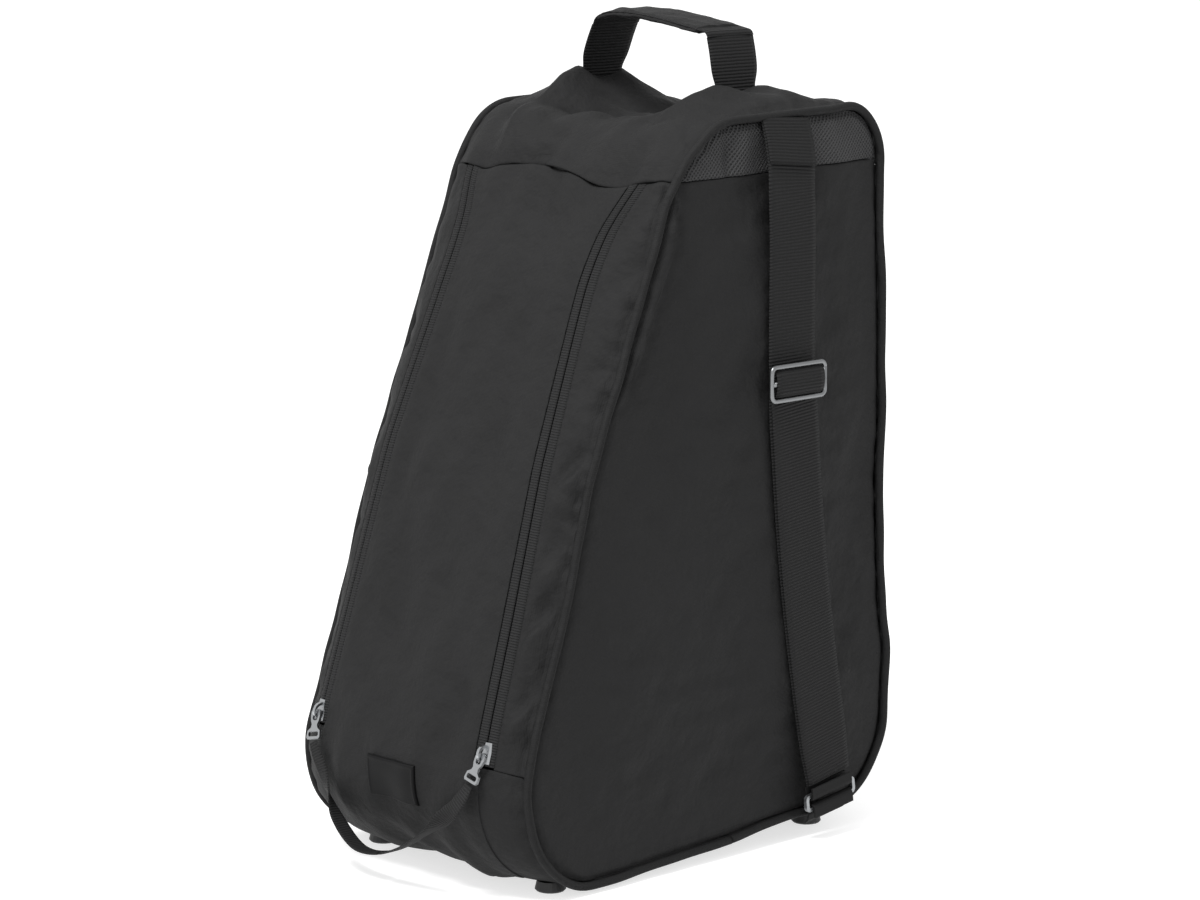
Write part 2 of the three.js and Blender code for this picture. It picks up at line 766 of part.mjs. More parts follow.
function buildStrap() {
  const upper = [
    new THREE.Vector3(98.6, strapY, 423),
    new THREE.Vector3(100.4, strapY, 414),
    new THREE.Vector3(103.6, strapY, 402),
    new THREE.Vector3(strapCentreX, strapY, 388),
    new THREE.Vector3(strapCentreX, strapY, strapTurnHeight + 22),
  ];
  add("strap_upper_run", ribbon(upper, sideWays, strapWidth, webbing), black.webbing);
  const lower = [onLowerRun(strapTurnHeight + 16, 0), onLowerRun(strapFootHeight, 0)];
  add("strap_lower_run", ribbon(lower, acrossLowerRun, strapWidth, webbing), black.webbing);
  const returnTop = glideHeight - 16;
  const folded = [onLowerRun(returnTop, returnOut), onLowerRun(strapFootHeight, returnOut)];
  add("strap_return_run", ribbon(folded, acrossLowerRun, strapWidth, webbing), black.webbing);
}
buildStrap();

// A slider frame with a centre bar, and the strap's end folded round that bar. They sit level.
function buildTriGlide() {
  const plateShape = roundedRectangle(new THREE.Shape(), glideWidth, glideTall, 3);
  const slotTall = 7.2;
  const barHalf = 1.6;
  for (const side of [-1, 1]) {
    plateShape.holes.push(holePath(strapWidth + 2, slotTall, 1, side * (barHalf + slotTall / 2)));
  }
  const frame = extruded(plateShape, glideThickness, 3);
  add("tri_glide", layOnStrap(frame, glideHeight, glideOut, 0), 0x8d8f92, 0.45);

  const wrapRadius = 3.2;
  const tail = 9;
  const wrap = [];
  for (const angle of evenly(-Math.PI / 2, Math.PI, 9)) {
    wrap.push([wrapRadius * Math.cos(angle), wrapRadius * Math.sin(angle)]);
  }
  wrap.push([-wrapRadius, -tail]);
  add("strap_bar_wrap", foldedWebbing(wrap, glideHeight, glideOut, strapWidth - 1, 0), black.webbing);
}

// Webbing along points (out, up) about a place on the lower run, with its top leaning by an angle.
function foldedWebbing(points, height, out, width, lean) {
  const up = new THREE.Vector3(0, -Math.sin(lean), Math.cos(lean));
  const across = () => new THREE.Vector3(0, Math.cos(lean), Math.sin(lean));
  const centre = onLowerRun(height, out);
  const route = points.map(([a, b]) => new THREE.Vector3(a, 0, 0).addScaledVector(up, b).add(centre));
  return ribbon(route, across, width, 1.2);
}
buildTriGlide();

const ringWire = 2.2;
const ringTall = 10.4;
const ringWide = 42;
const ringHeight = 26.5;
const ringOut = returnOut / 2;
const footWebbing = 34; // the strap is drawn in a little where it meets the ring

// The strap's foot turns round the top bar of a flat ring, and a tab holds the bottom bar.
function buildRing() {
  const barOffset = (ringTall - ringWire) / 2;
  const ringShape = roundedRectangle(new THREE.Shape(), ringWide, ringTall, 3);
  const opening = holePath(ringWide - 2 * ringWire, ringTall - 2 * ringWire, 1.4, 0);
  ringShape.holes.push(opening);
  const ring = extruded(ringShape, ringWire, 3);
  add("bottom_ring", layOnStrap(ring, ringHeight, ringOut, lowerLean), 0x9a9c9f, 0.35, 1);

  const bend = 2.5;
  const aroundBar = (side) => (angle) => [bend * Math.cos(angle), side * (barOffset - bend * Math.sin(angle))];
  const turn = evenly(Math.PI, 0, 7);
  const fold = [[-bend, barOffset + 5], ...turn.map(aroundBar(1)), [bend, barOffset + 5]];
  add("strap_foot_fold", foldedWebbing(fold, ringHeight, ringOut, footWebbing, lowerLean), black.webbing);

  const behind = [
    [-6.6, -barOffset - 10],
    [-4, -barOffset - 7.6],
    [-bend, -barOffset - 4],
  ];
  const tab = [...behind, ...turn.map(aroundBar(-1)), [bend, -barOffset - 5]];
  add("ring_tab", foldedWebbing(tab, ringHeight, ringOut, footWebbing - 1, lowerLean), black.webbing);
}
buildRing();

// The strap's sewn end has a second layer of webbing behind it.
function buildStrapTopTab() {
  const tab = [
    new THREE.Vector3(96.9, strapY, 423),
    new THREE.Vector3(98.5, strapY, 414),
    new THREE.Vector3(101.4, strapY, 403),
  ];
  add("strap_top_tab", ribbon(tab, sideWays, strapWidth, 1), black.webbing);
}
buildStrapTopTab();

// ---- feet and their screws -----------------------------------------------------------------------------

const footHeight = 6;
const screwRadius = 1.8;
const screwBore = 2.2;
const screwHeadRadius = 4.5;

function lathe(profile, segments) {
  const points = profile.map(([r, z]) => new THREE.Vector2(r, z));
  return new THREE.LatheGeometry(points, segments).rotateX(Math.PI / 2);
}

function buildFoot(name, x, y) {
  const foot = lathe(
    [
      [0, 0],
      [footRadius - 1, 0],
      [footRadius, 1],
      [footRadius - 1.2, footHeight],
      [screwBore, footHeight],
      [screwBore, 2.5],
      [0, 2.5],
    ],
    20,
  );
  add(`foot_${name}`, foot.translate(x, y, 0), black.plastic, 0.5);

  const headBase = boardTop + 0.3;
  const screw = lathe(
    [
      [0, 3],
      [screwRadius, 3],
      [screwRadius, headBase],
      [screwHeadRadius, headBase],
      [screwHeadRadius, headBase + 0.8],
      [2.5, headBase + 2],
      [0, headBase + 2],
    ],
    12,
  );
  add(`foot_screw_${name}`, screw.translate(x, y, 0), 0x77797c, 0.4, 1);
}

const footPlaces = [
  ["front_right", footX, frontFootCentreY],
  ["front_left", -footX, frontFootCentreY],
  ["back_right", footX, backFootCentreY],
  ["back_left", -footX, backFootCentreY],
];

// Cuts the screw holes of all four feet through a piece.
function bored(geometry) {
  const holes = footPlaces.map(([, x, y]) => {
    const reach = 2 * boardTop; // well past both ends of the screw
    const hole = new THREE.CylinderGeometry(screwBore, screwBore, 2 * reach, 12).rotateX(Math.PI / 2);
    return toManifold(hole.translate(x, y, 0));
  });
  return fromManifold(holes.reduce((solid, hole) => solid.subtract(hole), toManifold(geometry)));
}

for (const name of ["bottom_panel", "lower_front_panel", "back_panel", "base_board"]) {
  const piece = bag.getObjectByName(name);
  piece.geometry = bored(piece.geometry);
}
footPlaces.forEach((place) => buildFoot(...place));

// ---- the origin: middle of the base, leaving out the free pull tape ------------------------

function centreOnBase() {
  const box = new THREE.Box3();
  for (const piece of bag.children) {
    if (piece.name !== "pull_tape") box.expandByObject(piece);
  }
  const centre = box.getCenter(new THREE.Vector3());
  bag.position.set(-centre.x, -centre.y, -box.min.z);
  bag.updateMatrixWorld(true);
}
centreOnBase();

export default bag;
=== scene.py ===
"""A soft bag for a pair of wellington boots, in black woven nylon.

Lengths are in millimetres in the bag's own frame until a mesh is made: x = 0 is midway between
the two lines of piping, y grows towards the back and z is the height above the floor.
"""

import math

import bpy
import numpy as np
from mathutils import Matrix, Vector


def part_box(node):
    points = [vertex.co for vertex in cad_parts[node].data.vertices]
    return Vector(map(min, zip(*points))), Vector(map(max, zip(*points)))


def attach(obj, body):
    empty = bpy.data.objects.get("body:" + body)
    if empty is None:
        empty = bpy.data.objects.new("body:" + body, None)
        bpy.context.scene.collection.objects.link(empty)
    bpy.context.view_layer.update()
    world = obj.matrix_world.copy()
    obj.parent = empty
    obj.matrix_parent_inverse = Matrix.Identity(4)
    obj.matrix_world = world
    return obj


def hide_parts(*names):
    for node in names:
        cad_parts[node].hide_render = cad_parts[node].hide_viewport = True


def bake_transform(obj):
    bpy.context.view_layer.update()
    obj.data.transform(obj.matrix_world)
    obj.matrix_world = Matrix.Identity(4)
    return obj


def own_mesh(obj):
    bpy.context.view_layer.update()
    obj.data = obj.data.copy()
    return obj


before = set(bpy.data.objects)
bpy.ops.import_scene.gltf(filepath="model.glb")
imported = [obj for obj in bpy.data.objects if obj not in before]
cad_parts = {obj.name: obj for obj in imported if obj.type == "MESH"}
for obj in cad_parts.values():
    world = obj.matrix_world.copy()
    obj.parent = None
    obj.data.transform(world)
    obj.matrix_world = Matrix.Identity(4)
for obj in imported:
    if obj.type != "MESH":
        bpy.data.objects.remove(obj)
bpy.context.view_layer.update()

MM = 0.001
SIDES = (("right", 1), ("left", -1))

# ---- driving dimensions ----

HALF_WIDTH = 94.0
BASE_Z = 8.0
BACK_FOOT_Y = 108.0
OUTLINE_START = (20.0, BASE_Z)
OUTLINE_CORNERS = [  # y, z and radius of each corner of the side outline
    (-163.5, BASE_Z, 50.0),
    (-9.0, 430.0, 40.0),
    (144.0, 430.0, 34.0),
    (153.0, BASE_Z, 52.0),
]
CLOTH = 1.2  # thickness of the cloth that is seen
BACKING = 0.8  # thickness of the turned-in edges behind a seam
PIPING_RADIUS = 2.5
PIPING_INSET = PIPING_RADIUS + 0.2  # where the cloth of a side starts, inside the piping
PANEL_HALF_WIDTH = HALF_WIDTH - 1.0
SEAM_GAP = 0.2
EDGE_DEPTH = 1.7  # how far a sewn edge sinks into its seam
EDGE_MARGINS = (0.0, 0.5, 1.1, 1.8, 2.8)  # extra sample places beside an edge
BOTTOM_SEAM_IN = 6.0  # how far the bottom seams lie in from the rounded corners
SEAM_Z = 75.0
YOKE_Z = 397.0
BACK_SEAM_Z = 396.0
APRON_Z = 15.0
MESH_Z = 397.0
ZIP_CHANNEL = 6.4

STRAP_WIDTH = 38.0
STRAP_X = 105.1
STRAP_Y = 57.0
STRAP_TURN_Z = 270.0
STRAP_FOOT_Y = 90.0
STRAP_FOOT_Z = 38.0
STRAP_FOOT_WIDTH = 34.5
LOWER_LEAN = math.atan2(STRAP_FOOT_Y - STRAP_Y, STRAP_TURN_Z - STRAP_FOOT_Z)
STRAP_CLEARANCE = 2.7  # from the strap's middle to the cloth behind it
STRAP_BOW = 3.5  # how far the lower run bows towards the front
RETURN_OUT = 2.2  # the doubled run lies this far out from the strap
RETURN_TOP_Z = 268.5
GLIDE_Z = 278.0
GLIDE_OUT = 5.2
GLIDE_WIRE = 1.5

HANDLE_Y = 58.0
HANDLE_HALF_SPAN = 57.0
HANDLE_WIDTH = 38.0
HANDLE_FLANGE_Z = 431.0  # where the ends of the handle meet the piping
HANDLE_BENDS = {"right": (53.5, 473.0), "left": (-41.5, 476.0)}  # x and z of each upper bend
HANDLE_FEET = {"right": (58.5, 438.5), "left": (-54.0, 444.0)}  # x and z where a leg meets the top

LABEL_HALF_WIDTH = 20.0
LABEL_HALF_HEIGHT = 9.2
LABEL_Z = 59.5

TAPE_WIDTH = 10.0
TAPE_NARROWING = 3.4  # how much the tape narrows where it passes through a pull

FLAP_FOLD = 26.0  # length of cloth below the yoke seam

CAMERA_AZIMUTH = 46.154
CAMERA_ELEVATION = 9.879
CAMERA_DISTANCE = 2284.74
CAMERA_TARGET = Vector((0.0, 5.04, 230.41))
CAMERA_LENS = 116.64
FLOOR_SIZE = 30.0
FLOOR_GLOW = 0.68


def middle(node):
    low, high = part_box(node)
    return (low + high) / 2


SHIFT_X = (middle("piping_right").x + middle("piping_left").x) / 2 / MM
SHIFT_Y = middle("foot_back_right").y / MM - BACK_FOOT_Y
SHIFT = Vector((SHIFT_X, SHIFT_Y, 0.0))


def to_frame(points):
    """Bag millimetres to metres in the CAD's frame."""
    return (np.asarray(points, float) + np.array(SHIFT)) * MM


# ---- camera, light and floor ----


def add_camera():
    azimuth = math.radians(CAMERA_AZIMUTH)
    elevation = math.radians(CAMERA_ELEVATION)
    level = math.cos(elevation)
    back = Vector((math.sin(azimuth) * level, -math.cos(azimuth) * level, math.sin(elevation)))
    data = bpy.data.cameras.new("camera")
    data.sensor_width = 36.0
    data.sensor_fit = "HORIZONTAL"
    data.lens = CAMERA_LENS
    data.clip_start = 0.05
    data.clip_end = 20.0
    camera = bpy.data.objects.new("camera", data)
    bpy.context.scene.collection.objects.link(camera)
    camera.location = to_frame(CAMERA_TARGET + back * CAMERA_DISTANCE)
    camera.rotation_euler = back.to_track_quat("Z", "Y").to_euler()
    bpy.context.scene.camera = camera


def add_area_light(name, location, size, energy):
    data = bpy.data.lights.new(name, "AREA")
    data.shape = "RECTANGLE"
    data.size, data.size_y = size
    data.energy = energy
    light = bpy.data.objects.new(name, data)
    bpy.context.scene.collection.objects.link(light)
    light.location = location
    bag_middle = Vector((0.0, 0.0, 0.2))
    aim = bag_middle - Vector(location)
    light.rotation_euler = aim.to_track_quat("-Z", "Y").to_euler()


def add_studio():
    scene = bpy.context.scene
    scene.view_settings.view_transform = "Standard"
    world = bpy.data.worlds.new("studio")
    world.use_nodes = True
    background = world.node_tree.nodes["Background"]
    background.inputs["Color"].default_value = (1.0, 1.0, 1.0, 1.0)
    background.inputs["Strength"].default_value = 1.0
    scene.world = world

    add_area_light("key", (0.3, -1.6, 3.1), (0.9, 0.9), 120.0)
    add_area_light("fill", (2.4, -1.9, 1.0), (1.0, 1.0), 4.0)

    bpy.ops.mesh.primitive_plane_add(size=FLOOR_SIZE)
    floor = bpy.context.object
    floor.name = "floor"
    floor.data.materials.append(floor_material())


# ---- materials ----


class Shader:
    """A material with one principled shader, and short calls for its nodes."""

    def __init__(self, name, colour, roughness, gloss=0.5, metallic=0.0):
        self.material = bpy.data.materials.new(name)
        self.material.use_nodes = True
        self.tree = self.material.node_tree
        self.principled = self.tree.nodes["Principled BSDF"]
        self.set("Base Color", (*colour, 1.0))
        self.set("Roughness", roughness)
        self.set("Specular IOR Level", gloss)
        self.set("Metallic", metallic)
        self.material.diffuse_color = (*colour, 1.0)

    def set(self, socket, value):
        self.principled.inputs[socket].default_value = value

    def feed(self, socket, value):
        """Links another node's output to a socket, or sets the socket to a constant."""
        if isinstance(value, bpy.types.NodeSocket):
            self.tree.links.new(value, socket)
        else:
            socket.default_value = value

    def node(self, kind, inputs, **settings):
        node = self.tree.nodes.new(kind)
        for key, value in settings.items():
            setattr(node, key, value)
        for socket, value in inputs.items():
            self.feed(node.inputs[socket], value)
        return node

    def coordinates(self, kind, scale=(1.0, 1.0, 1.0), turn=0.0):
        place = self.node("ShaderNodeTexCoord", {}).outputs[kind]
        inputs = {"Vector": place, "Scale": scale, "Rotation": (0.0, 0.0, turn)}
        return self.node("ShaderNodeMapping", inputs).outputs["Vector"]

    def noise(self, vector, scale, detail=2.0):
        inputs = {"Vector": vector, "Scale": scale, "Detail": detail}
        return self.node("ShaderNodeTexNoise", inputs).outputs["Fac"]

    def wave(self, vector, scale, direction="X", distortion=0.0):
        inputs = {"Vector": vector, "Scale": scale, "Distortion": distortion}
        return self.node("ShaderNodeTexWave", inputs, bands_direction=direction).outputs["Fac"]

    def math(self, operation, a, b):
        return self.node("ShaderNodeMath", {0: a, 1: b}, operation=operation).outputs[0]

    def mixed(self, a, share_a, b, share_b):
        return self.math("ADD", self.math("MULTIPLY", a, share_a), self.math("MULTIPLY", b, share_b))

    def ramp(self, value, low, high, socket):
        """Maps 0..1 to a colour or number range on one of the shader's sockets."""
        is_colour = not isinstance(low, (int, float))
        node = self.node("ShaderNodeMix", {}, data_type="RGBA" if is_colour else "FLOAT")
        used = {s.name: s for s in node.inputs if s.enabled}
        self.feed(used["A"], (*low, 1.0) if is_colour else low)
        self.feed(used["B"], (*high, 1.0) if is_colour else high)
        self.feed(used["Factor"], value)
        result = [s for s in node.outputs if s.enabled][0]
        self.feed(self.principled.inputs[socket], result)

    def bump(self, height, distance, strength=1.0):
        node = self.node("ShaderNodeBump", {"Height": height, "Distance": distance, "Strength": strength})
        normal = self.principled.inputs["Normal"]
        if normal.is_linked:
            self.feed(node.inputs["Normal"], normal.links[0].from_socket)
        self.feed(normal, node.outputs["Normal"])


def wave_scale(pitch):
    """Scale of a wave texture whose bands lie a pitch in millimetres apart."""
    spacing_at_scale_one = 2 * math.pi / 20.0
    return spacing_at_scale_one / (pitch * MM)


def scaled(colour, factor):
    return tuple(channel * factor for channel in colour)


def floor_material():
    shader = Shader("floor", (0.5, 0.5, 0.5), 0.9, gloss=0.0)
    shader.set("Emission Color", (1.0, 1.0, 1.0, 1.0))
    shader.set("Emission Strength", FLOOR_GLOW)
    return shader.material


def woven(name, colour, pitch=0.7, mottling=0.3):
    """Plain weave over UVs in metres, with a faint uneven tone."""
    shader = Shader(name, colour, 0.72, gloss=0.16)
    uv = shader.coordinates("UV")
    across = shader.wave(uv, wave_scale(pitch), "X")
    along = shader.wave(uv, wave_scale(pitch * 1.15), "Y")
    weave = shader.math("MULTIPLY", across, along)
    place = shader.coordinates("Object")
    broad = shader.noise(place, 26.0, 4.0)
    crumple = shader.noise(place, 75.0, 3.0)
    grain = shader.noise(place, 900.0, 2.0)
    tone = shader.mixed(broad, 0.75, grain, 0.25)
    shader.ramp(tone, scaled(colour, 1 - mottling), scaled(colour, 1 + mottling), "Base Color")
    shader.ramp(broad, 0.62, 0.82, "Roughness")
    shader.bump(broad, 0.006, 0.5)
    shader.bump(crumple, 0.0042, 0.7)
    shader.bump(weave, 0.00012)
    shader.bump(grain, 0.0002, 0.5)
    return shader.material


def ribbed(name, colour, pitch):
    """Webbing: cross ribs in two offset columns with a fine thread grain, and painted light and shade along
    the ribs.
    """
    shader = Shader(name, colour, 0.7, gloss=0.16)
    uv = shader.coordinates("UV")
    ribs = shader.wave(uv, wave_scale(pitch), "Y", 0.6)
    columns = shader.wave(uv, wave_scale(3.1), "X", 0.4)
    threads = shader.noise(shader.coordinates("UV", (1.0, 0.35, 1.0)), 1500.0)
    relief = shader.math("ADD", ribs, shader.math("MULTIPLY", columns, 0.06))
    # The colour follows the ribs as well as the threads: the ribs are painted lighter and the grooves
    # darker, painted light and shade on the relief, mixed with the threads' own grain.
    tone = shader.mixed(ribs, 0.6, threads, 0.4)
    shader.ramp(tone, scaled(colour, 0.55), scaled(colour, 1.5), "Base Color")
    shader.bump(relief, 0.0005)
    shader.bump(threads, 0.0002, 0.6)
    return shader.material


def airing_mesh(name, colour):
    """Knitted mesh: two diagonal sets of fine ribs, with painted shade near black in the holes between them
    for the dark inside seen through the mesh.
    """
    shader = Shader(name, colour, 0.55, gloss=0.2)
    turned = [shader.coordinates("UV", turn=math.radians(degrees)) for degrees in (42, -48)]
    rising, falling = [shader.wave(place, wave_scale(2.0)) for place in turned]
    net = shader.math("MAXIMUM", rising, shader.math("MULTIPLY", falling, 0.8))
    # The holes between the ribs are painted near black: painted shade for the inside of the bag seen
    # through them.
    painted_hole_shade = (0.0015, 0.0015, 0.0015)
    shader.ramp(net, painted_hole_shade, scaled(colour, 2.2), "Base Color")
    shader.bump(net, 0.0007)
    return shader.material


def metal(name, colour, roughness):
    shader = Shader(name, colour, roughness, metallic=1.0)
    scuffs = shader.noise(shader.coordinates("Object"), 700.0, 4.0)
    shader.ramp(scuffs, max(0.05, roughness - 0.1), roughness + 0.15, "Roughness")
    shader.bump(scuffs, 0.0001, 0.4)
    return shader.material


def moulded(name, colour, roughness, gloss=0.5):
    shader = Shader(name, colour, roughness, gloss)
    grain = shader.noise(shader.coordinates("Object"), 1800.0, 3.0)
    tone = shader.noise(shader.coordinates("Object"), 90.0, 3.0)
    shader.ramp(tone, scaled(colour, 0.85), scaled(colour, 1.2), "Base Color")
    shader.ramp(grain, roughness - 0.08, roughness + 0.12, "Roughness")
    shader.bump(grain, 0.0001, 0.6)
    return shader.material


MATERIALS = {
    "nylon": woven("nylon", (0.011, 0.011, 0.0112)),
    # The same nylon made a little darker for the sides and the underside: painted shade.
    "side_nylon_painted_shade": woven("side_nylon_painted_shade", (0.0108, 0.0108, 0.011)),
    "piping": woven("piping_cloth", (0.0096, 0.0096, 0.0098), 1.0, 0.3),
    "webbing": ribbed("webbing", (0.0084, 0.0084, 0.0086), 1.9),
    "narrow_webbing": ribbed("narrow_webbing", (0.0116, 0.0116, 0.0118), 1.6),
    "mesh": airing_mesh("airing_mesh", (0.0165, 0.0165, 0.017)),
    "zip_tape": ribbed("zip_tape", (0.0125, 0.0125, 0.0128), 1.5),
    "nickel": metal("nickel", (0.36, 0.37, 0.38), 0.3),
    "steel": metal("steel", (0.3, 0.31, 0.32), 0.38),
    "buckle": metal("buckle", (0.2, 0.205, 0.21), 0.3),
    "plastic": moulded("plastic", (0.008, 0.008, 0.0085), 0.5),
    "label": moulded("label", (0.0036, 0.0036, 0.0038), 0.55, 0.12),
}

# ---- meshes from grids and sections ----


def grid_faces(rows, columns, start=0, flip=False):
    """Quads over a grid of rows x columns points."""
    index = start + np.arange(rows * columns).reshape(rows, columns)
    a, b, c, d = index[:-1, :-1], index[:-1, 1:], index[1:, 1:], index[1:, :-1]
    order = (a, d, c, b) if flip else (a, b, c, d)
    return np.stack(order, axis=-1).reshape(-1, 4)


def make_piece(name, points, faces, uv, material, body=None, replaces=()):
    """A mesh object from points in bag millimetres and UVs in millimetres."""
    mesh = bpy.data.meshes.new(name)
    mesh.from_pydata(to_frame(points).tolist(), [], [list(map(int, f)) for f in faces])
    layer = mesh.uv_layers.new(name="UVMap")
    corners = np.empty(len(mesh.loops), int)
    mesh.loops.foreach_get("vertex_index", corners)
    layer.data.foreach_set("uv", (np.asarray(uv, float)[corners] * MM).ravel())
    mesh.materials.append(MATERIALS[material])
    mesh.shade_smooth()
    mesh.update()
    piece = bpy.data.objects.new(name, mesh)
    bpy.context.scene.collection.objects.link(piece)
    if replaces:
        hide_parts(*replaces)
    if body:
        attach(piece, body)
    return piece


def unit(v):
    return v / np.maximum(np.linalg.norm(v, axis=-1, keepdims=True), 1e-9)


def grid_normals(points):
    return unit(np.cross(np.gradient(points, axis=1), np.gradient(points, axis=0)))


def sheet_geometry(outer, thickness, outward):
    """Points and faces of a closed sheet whose outer face is a grid. outward is a rough direction."""
    rows, columns = outer.shape[:2]
    normal = grid_normals(outer)
    flip = float((normal * outward).sum()) < 0
    if flip:
        normal = -normal
    inner = outer - normal * thickness
    points = np.concatenate([outer.reshape(-1, 3), inner.reshape(-1, 3)])
    size = rows * columns
    faces = [grid_faces(rows, columns, 0, flip), grid_faces(rows, columns, size, not flip)]
    index = np.arange(size).reshape(rows, columns)
    rim = np.concatenate([index[0, :], index[1:, -1], index[-1, -2::-1], index[-2:0:-1, 0]])
    following = np.roll(rim, -1)
    wall = (rim, rim + size, following + size, following)
    if flip:
        wall = wall[::-1]
    faces.append(np.stack(wall, axis=-1))
    return points, np.concatenate(faces)


def sheet(name, outer, thickness, outward, places, material, **where):
    """A closed sheet; places are the two grids that say where each point lies on its cloth."""
    points, faces = sheet_geometry(outer, thickness, outward)
    both = np.concatenate([np.stack(places, axis=-1).reshape(-1, 2)] * 2)
    return make_piece(name, points, faces, both, material, **where)


def run_lengths(path):
    return np.concatenate([[0], np.cumsum(np.linalg.norm(np.diff(path, axis=0), axis=1))])


def spline(points, step=2.0):
    """Catmull-Rom curve through points, resampled to about one step."""
    p = np.asarray(points, float)
    p = np.vstack([2 * p[0] - p[1], p, 2 * p[-1] - p[-2]])
    t = np.linspace(0, 1, 24, endpoint=False)[:, None]
    runs = []
    for a, b, c, d in zip(p[:-3], p[1:-2], p[2:-1], p[3:]):
        square = (2 * a - 5 * b + 4 * c - d) * t**2
        cube = (3 * b - a - 3 * c + d) * t**3
        runs.append(0.5 * (2 * b + (c - a) * t + square + cube))
    fine = np.vstack(runs + [p[-2:-1]])
    length = run_lengths(fine)
    at = np.linspace(0, length[-1], max(3, int(length[-1] / step) + 1))
    return np.stack([np.interp(at, length, fine[:, k]) for k in range(fine.shape[1])], axis=1)


def sweep(name, path, across, section, material, **where):
    """Sweeps a closed section, or one for each point, along a path; its first axis follows across."""
    path = np.asarray(path, float)
    section = np.asarray(section, float)
    along = unit(np.gradient(path, axis=0))
    across = np.broadcast_to(np.asarray(across, float), path.shape)
    across = unit(across - (across * along).sum(-1, keepdims=True) * along)
    face = np.cross(along, across)
    if section.ndim == 2:
        section = np.broadcast_to(section, (len(path), *section.shape))
    count = section.shape[1]
    points = path[:, None] + section[..., :1] * across[:, None] + section[..., 1:] * face[:, None]
    points = points.reshape(-1, 3)
    index = np.arange(len(path) * count).reshape(len(path), count)
    a, b = index[:-1], np.roll(index, -1, axis=1)[:-1]
    c, d = np.roll(index, -1, axis=1)[1:], index[1:]
    faces = [list(q) for q in np.stack([a, b, c, d], axis=-1).reshape(-1, 4)]
    faces.append(list(index[0, ::-1]))
    faces.append(list(index[-1]))
    girth, climb = run_lengths(section[0]), run_lengths(path)
    uv = np.stack(np.broadcast_arrays(girth[None, :], climb[:, None]), axis=-1).reshape(-1, 2)
    return make_piece(name, points, faces, uv, material, **where)


def strap_section(width, thickness, cup=0.0, steps=10):
    """A flat section with rounded edges; cup lifts its edges towards its face."""
    a = np.linspace(-1, 1, steps + 1)
    half = thickness / 2 * np.sqrt(np.maximum(0.04, 1 - np.abs(a) ** 10))
    lift = cup * a**2
    top = np.stack([a * width / 2, lift + half], axis=1)
    bottom = np.stack([a[::-1] * width / 2, (lift - half)[::-1]], axis=1)
    return np.vstack([bottom, top])


def round_section(radius, sides=12):
    angle = np.linspace(0, 2 * math.pi, sides, endpoint=False)
    return radius * np.stack([np.cos(angle), np.sin(angle)], axis=1)


def webbing_run(name, path, width, thickness, nodes, body="shell", across=(0, 1.0, 0), cup=0.0):
    """A piece of webbing along a path; its width is one number or one for each point."""
    sections = np.array([strap_section(w, thickness, cup) for w in np.broadcast_to(width, len(path))])
    return sweep(name, path, across, sections, "webbing", body=body, replaces=nodes)


# ---- small shape functions ----


def smoothstep(low, high, value):
    t = np.clip((value - low) / (high - low), 0, 1)
    return t * t * (3 - 2 * t)


def bell(value, width):
    return np.exp(-((value / width) ** 2))


def ripple(a, b, wavelength, seed):
    """A gentle random height field of about unit height."""
    rng = np.random.default_rng(seed)
    total = np.zeros(np.broadcast(a, b).shape)
    waves = 7
    for _ in range(waves):
        angle = rng.uniform(0, math.pi)
        size = wavelength * rng.uniform(0.7, 1.6)
        phase = rng.uniform(0, 2 * math.pi)
        along = a * math.cos(angle) + b * math.sin(angle)
        total = total + np.sin(2 * math.pi * along / size + phase)
    return total / math.sqrt(waves)


def crease(a, b, start, end, width, height):
    """A soft ridge, or a valley if height is negative, along a line that fades at its ends."""
    (a0, b0), (a1, b1) = start, end
    length2 = (a1 - a0) ** 2 + (b1 - b0) ** 2
    t = ((a - a0) * (a1 - a0) + (b - b0) * (b1 - b0)) / length2
    inside = np.clip(t, 0, 1)
    away = np.hypot(a - a0 - inside * (a1 - a0), b - b0 - inside * (b1 - b0))
    return height * bell(away, width) * np.sin(math.pi * np.clip(t * 0.9 + 0.05, 0, 1)) ** 0.7


def edge_roll(distance, width=2.4, depth=EDGE_DEPTH):
    """How far a sewn edge sinks into its seam at a distance from the edge."""
    t = np.clip(1 - distance / width, 0, 1)
    return depth * (1 - np.sqrt(1 - t * t))


def graded(low, high, step, margins=EDGE_MARGINS):
    """Sample places from low to high with extra ones close to both ends."""
    first = [low + m for m in margins]
    last = [high - m for m in reversed(margins)]
    count = max(2, int((last[0] - first[-1]) / step))
    return np.array(first + list(np.linspace(first[-1], last[0], count + 1))[1:-1] + last)


# ---- the side outline ----


def straight_samples(length, here, there, steps):
    shares = [k / steps for k in range(1, steps + 1)]
    run = (there - here).length
    return [(length + run * share, *here.lerp(there, share)) for share in shares]


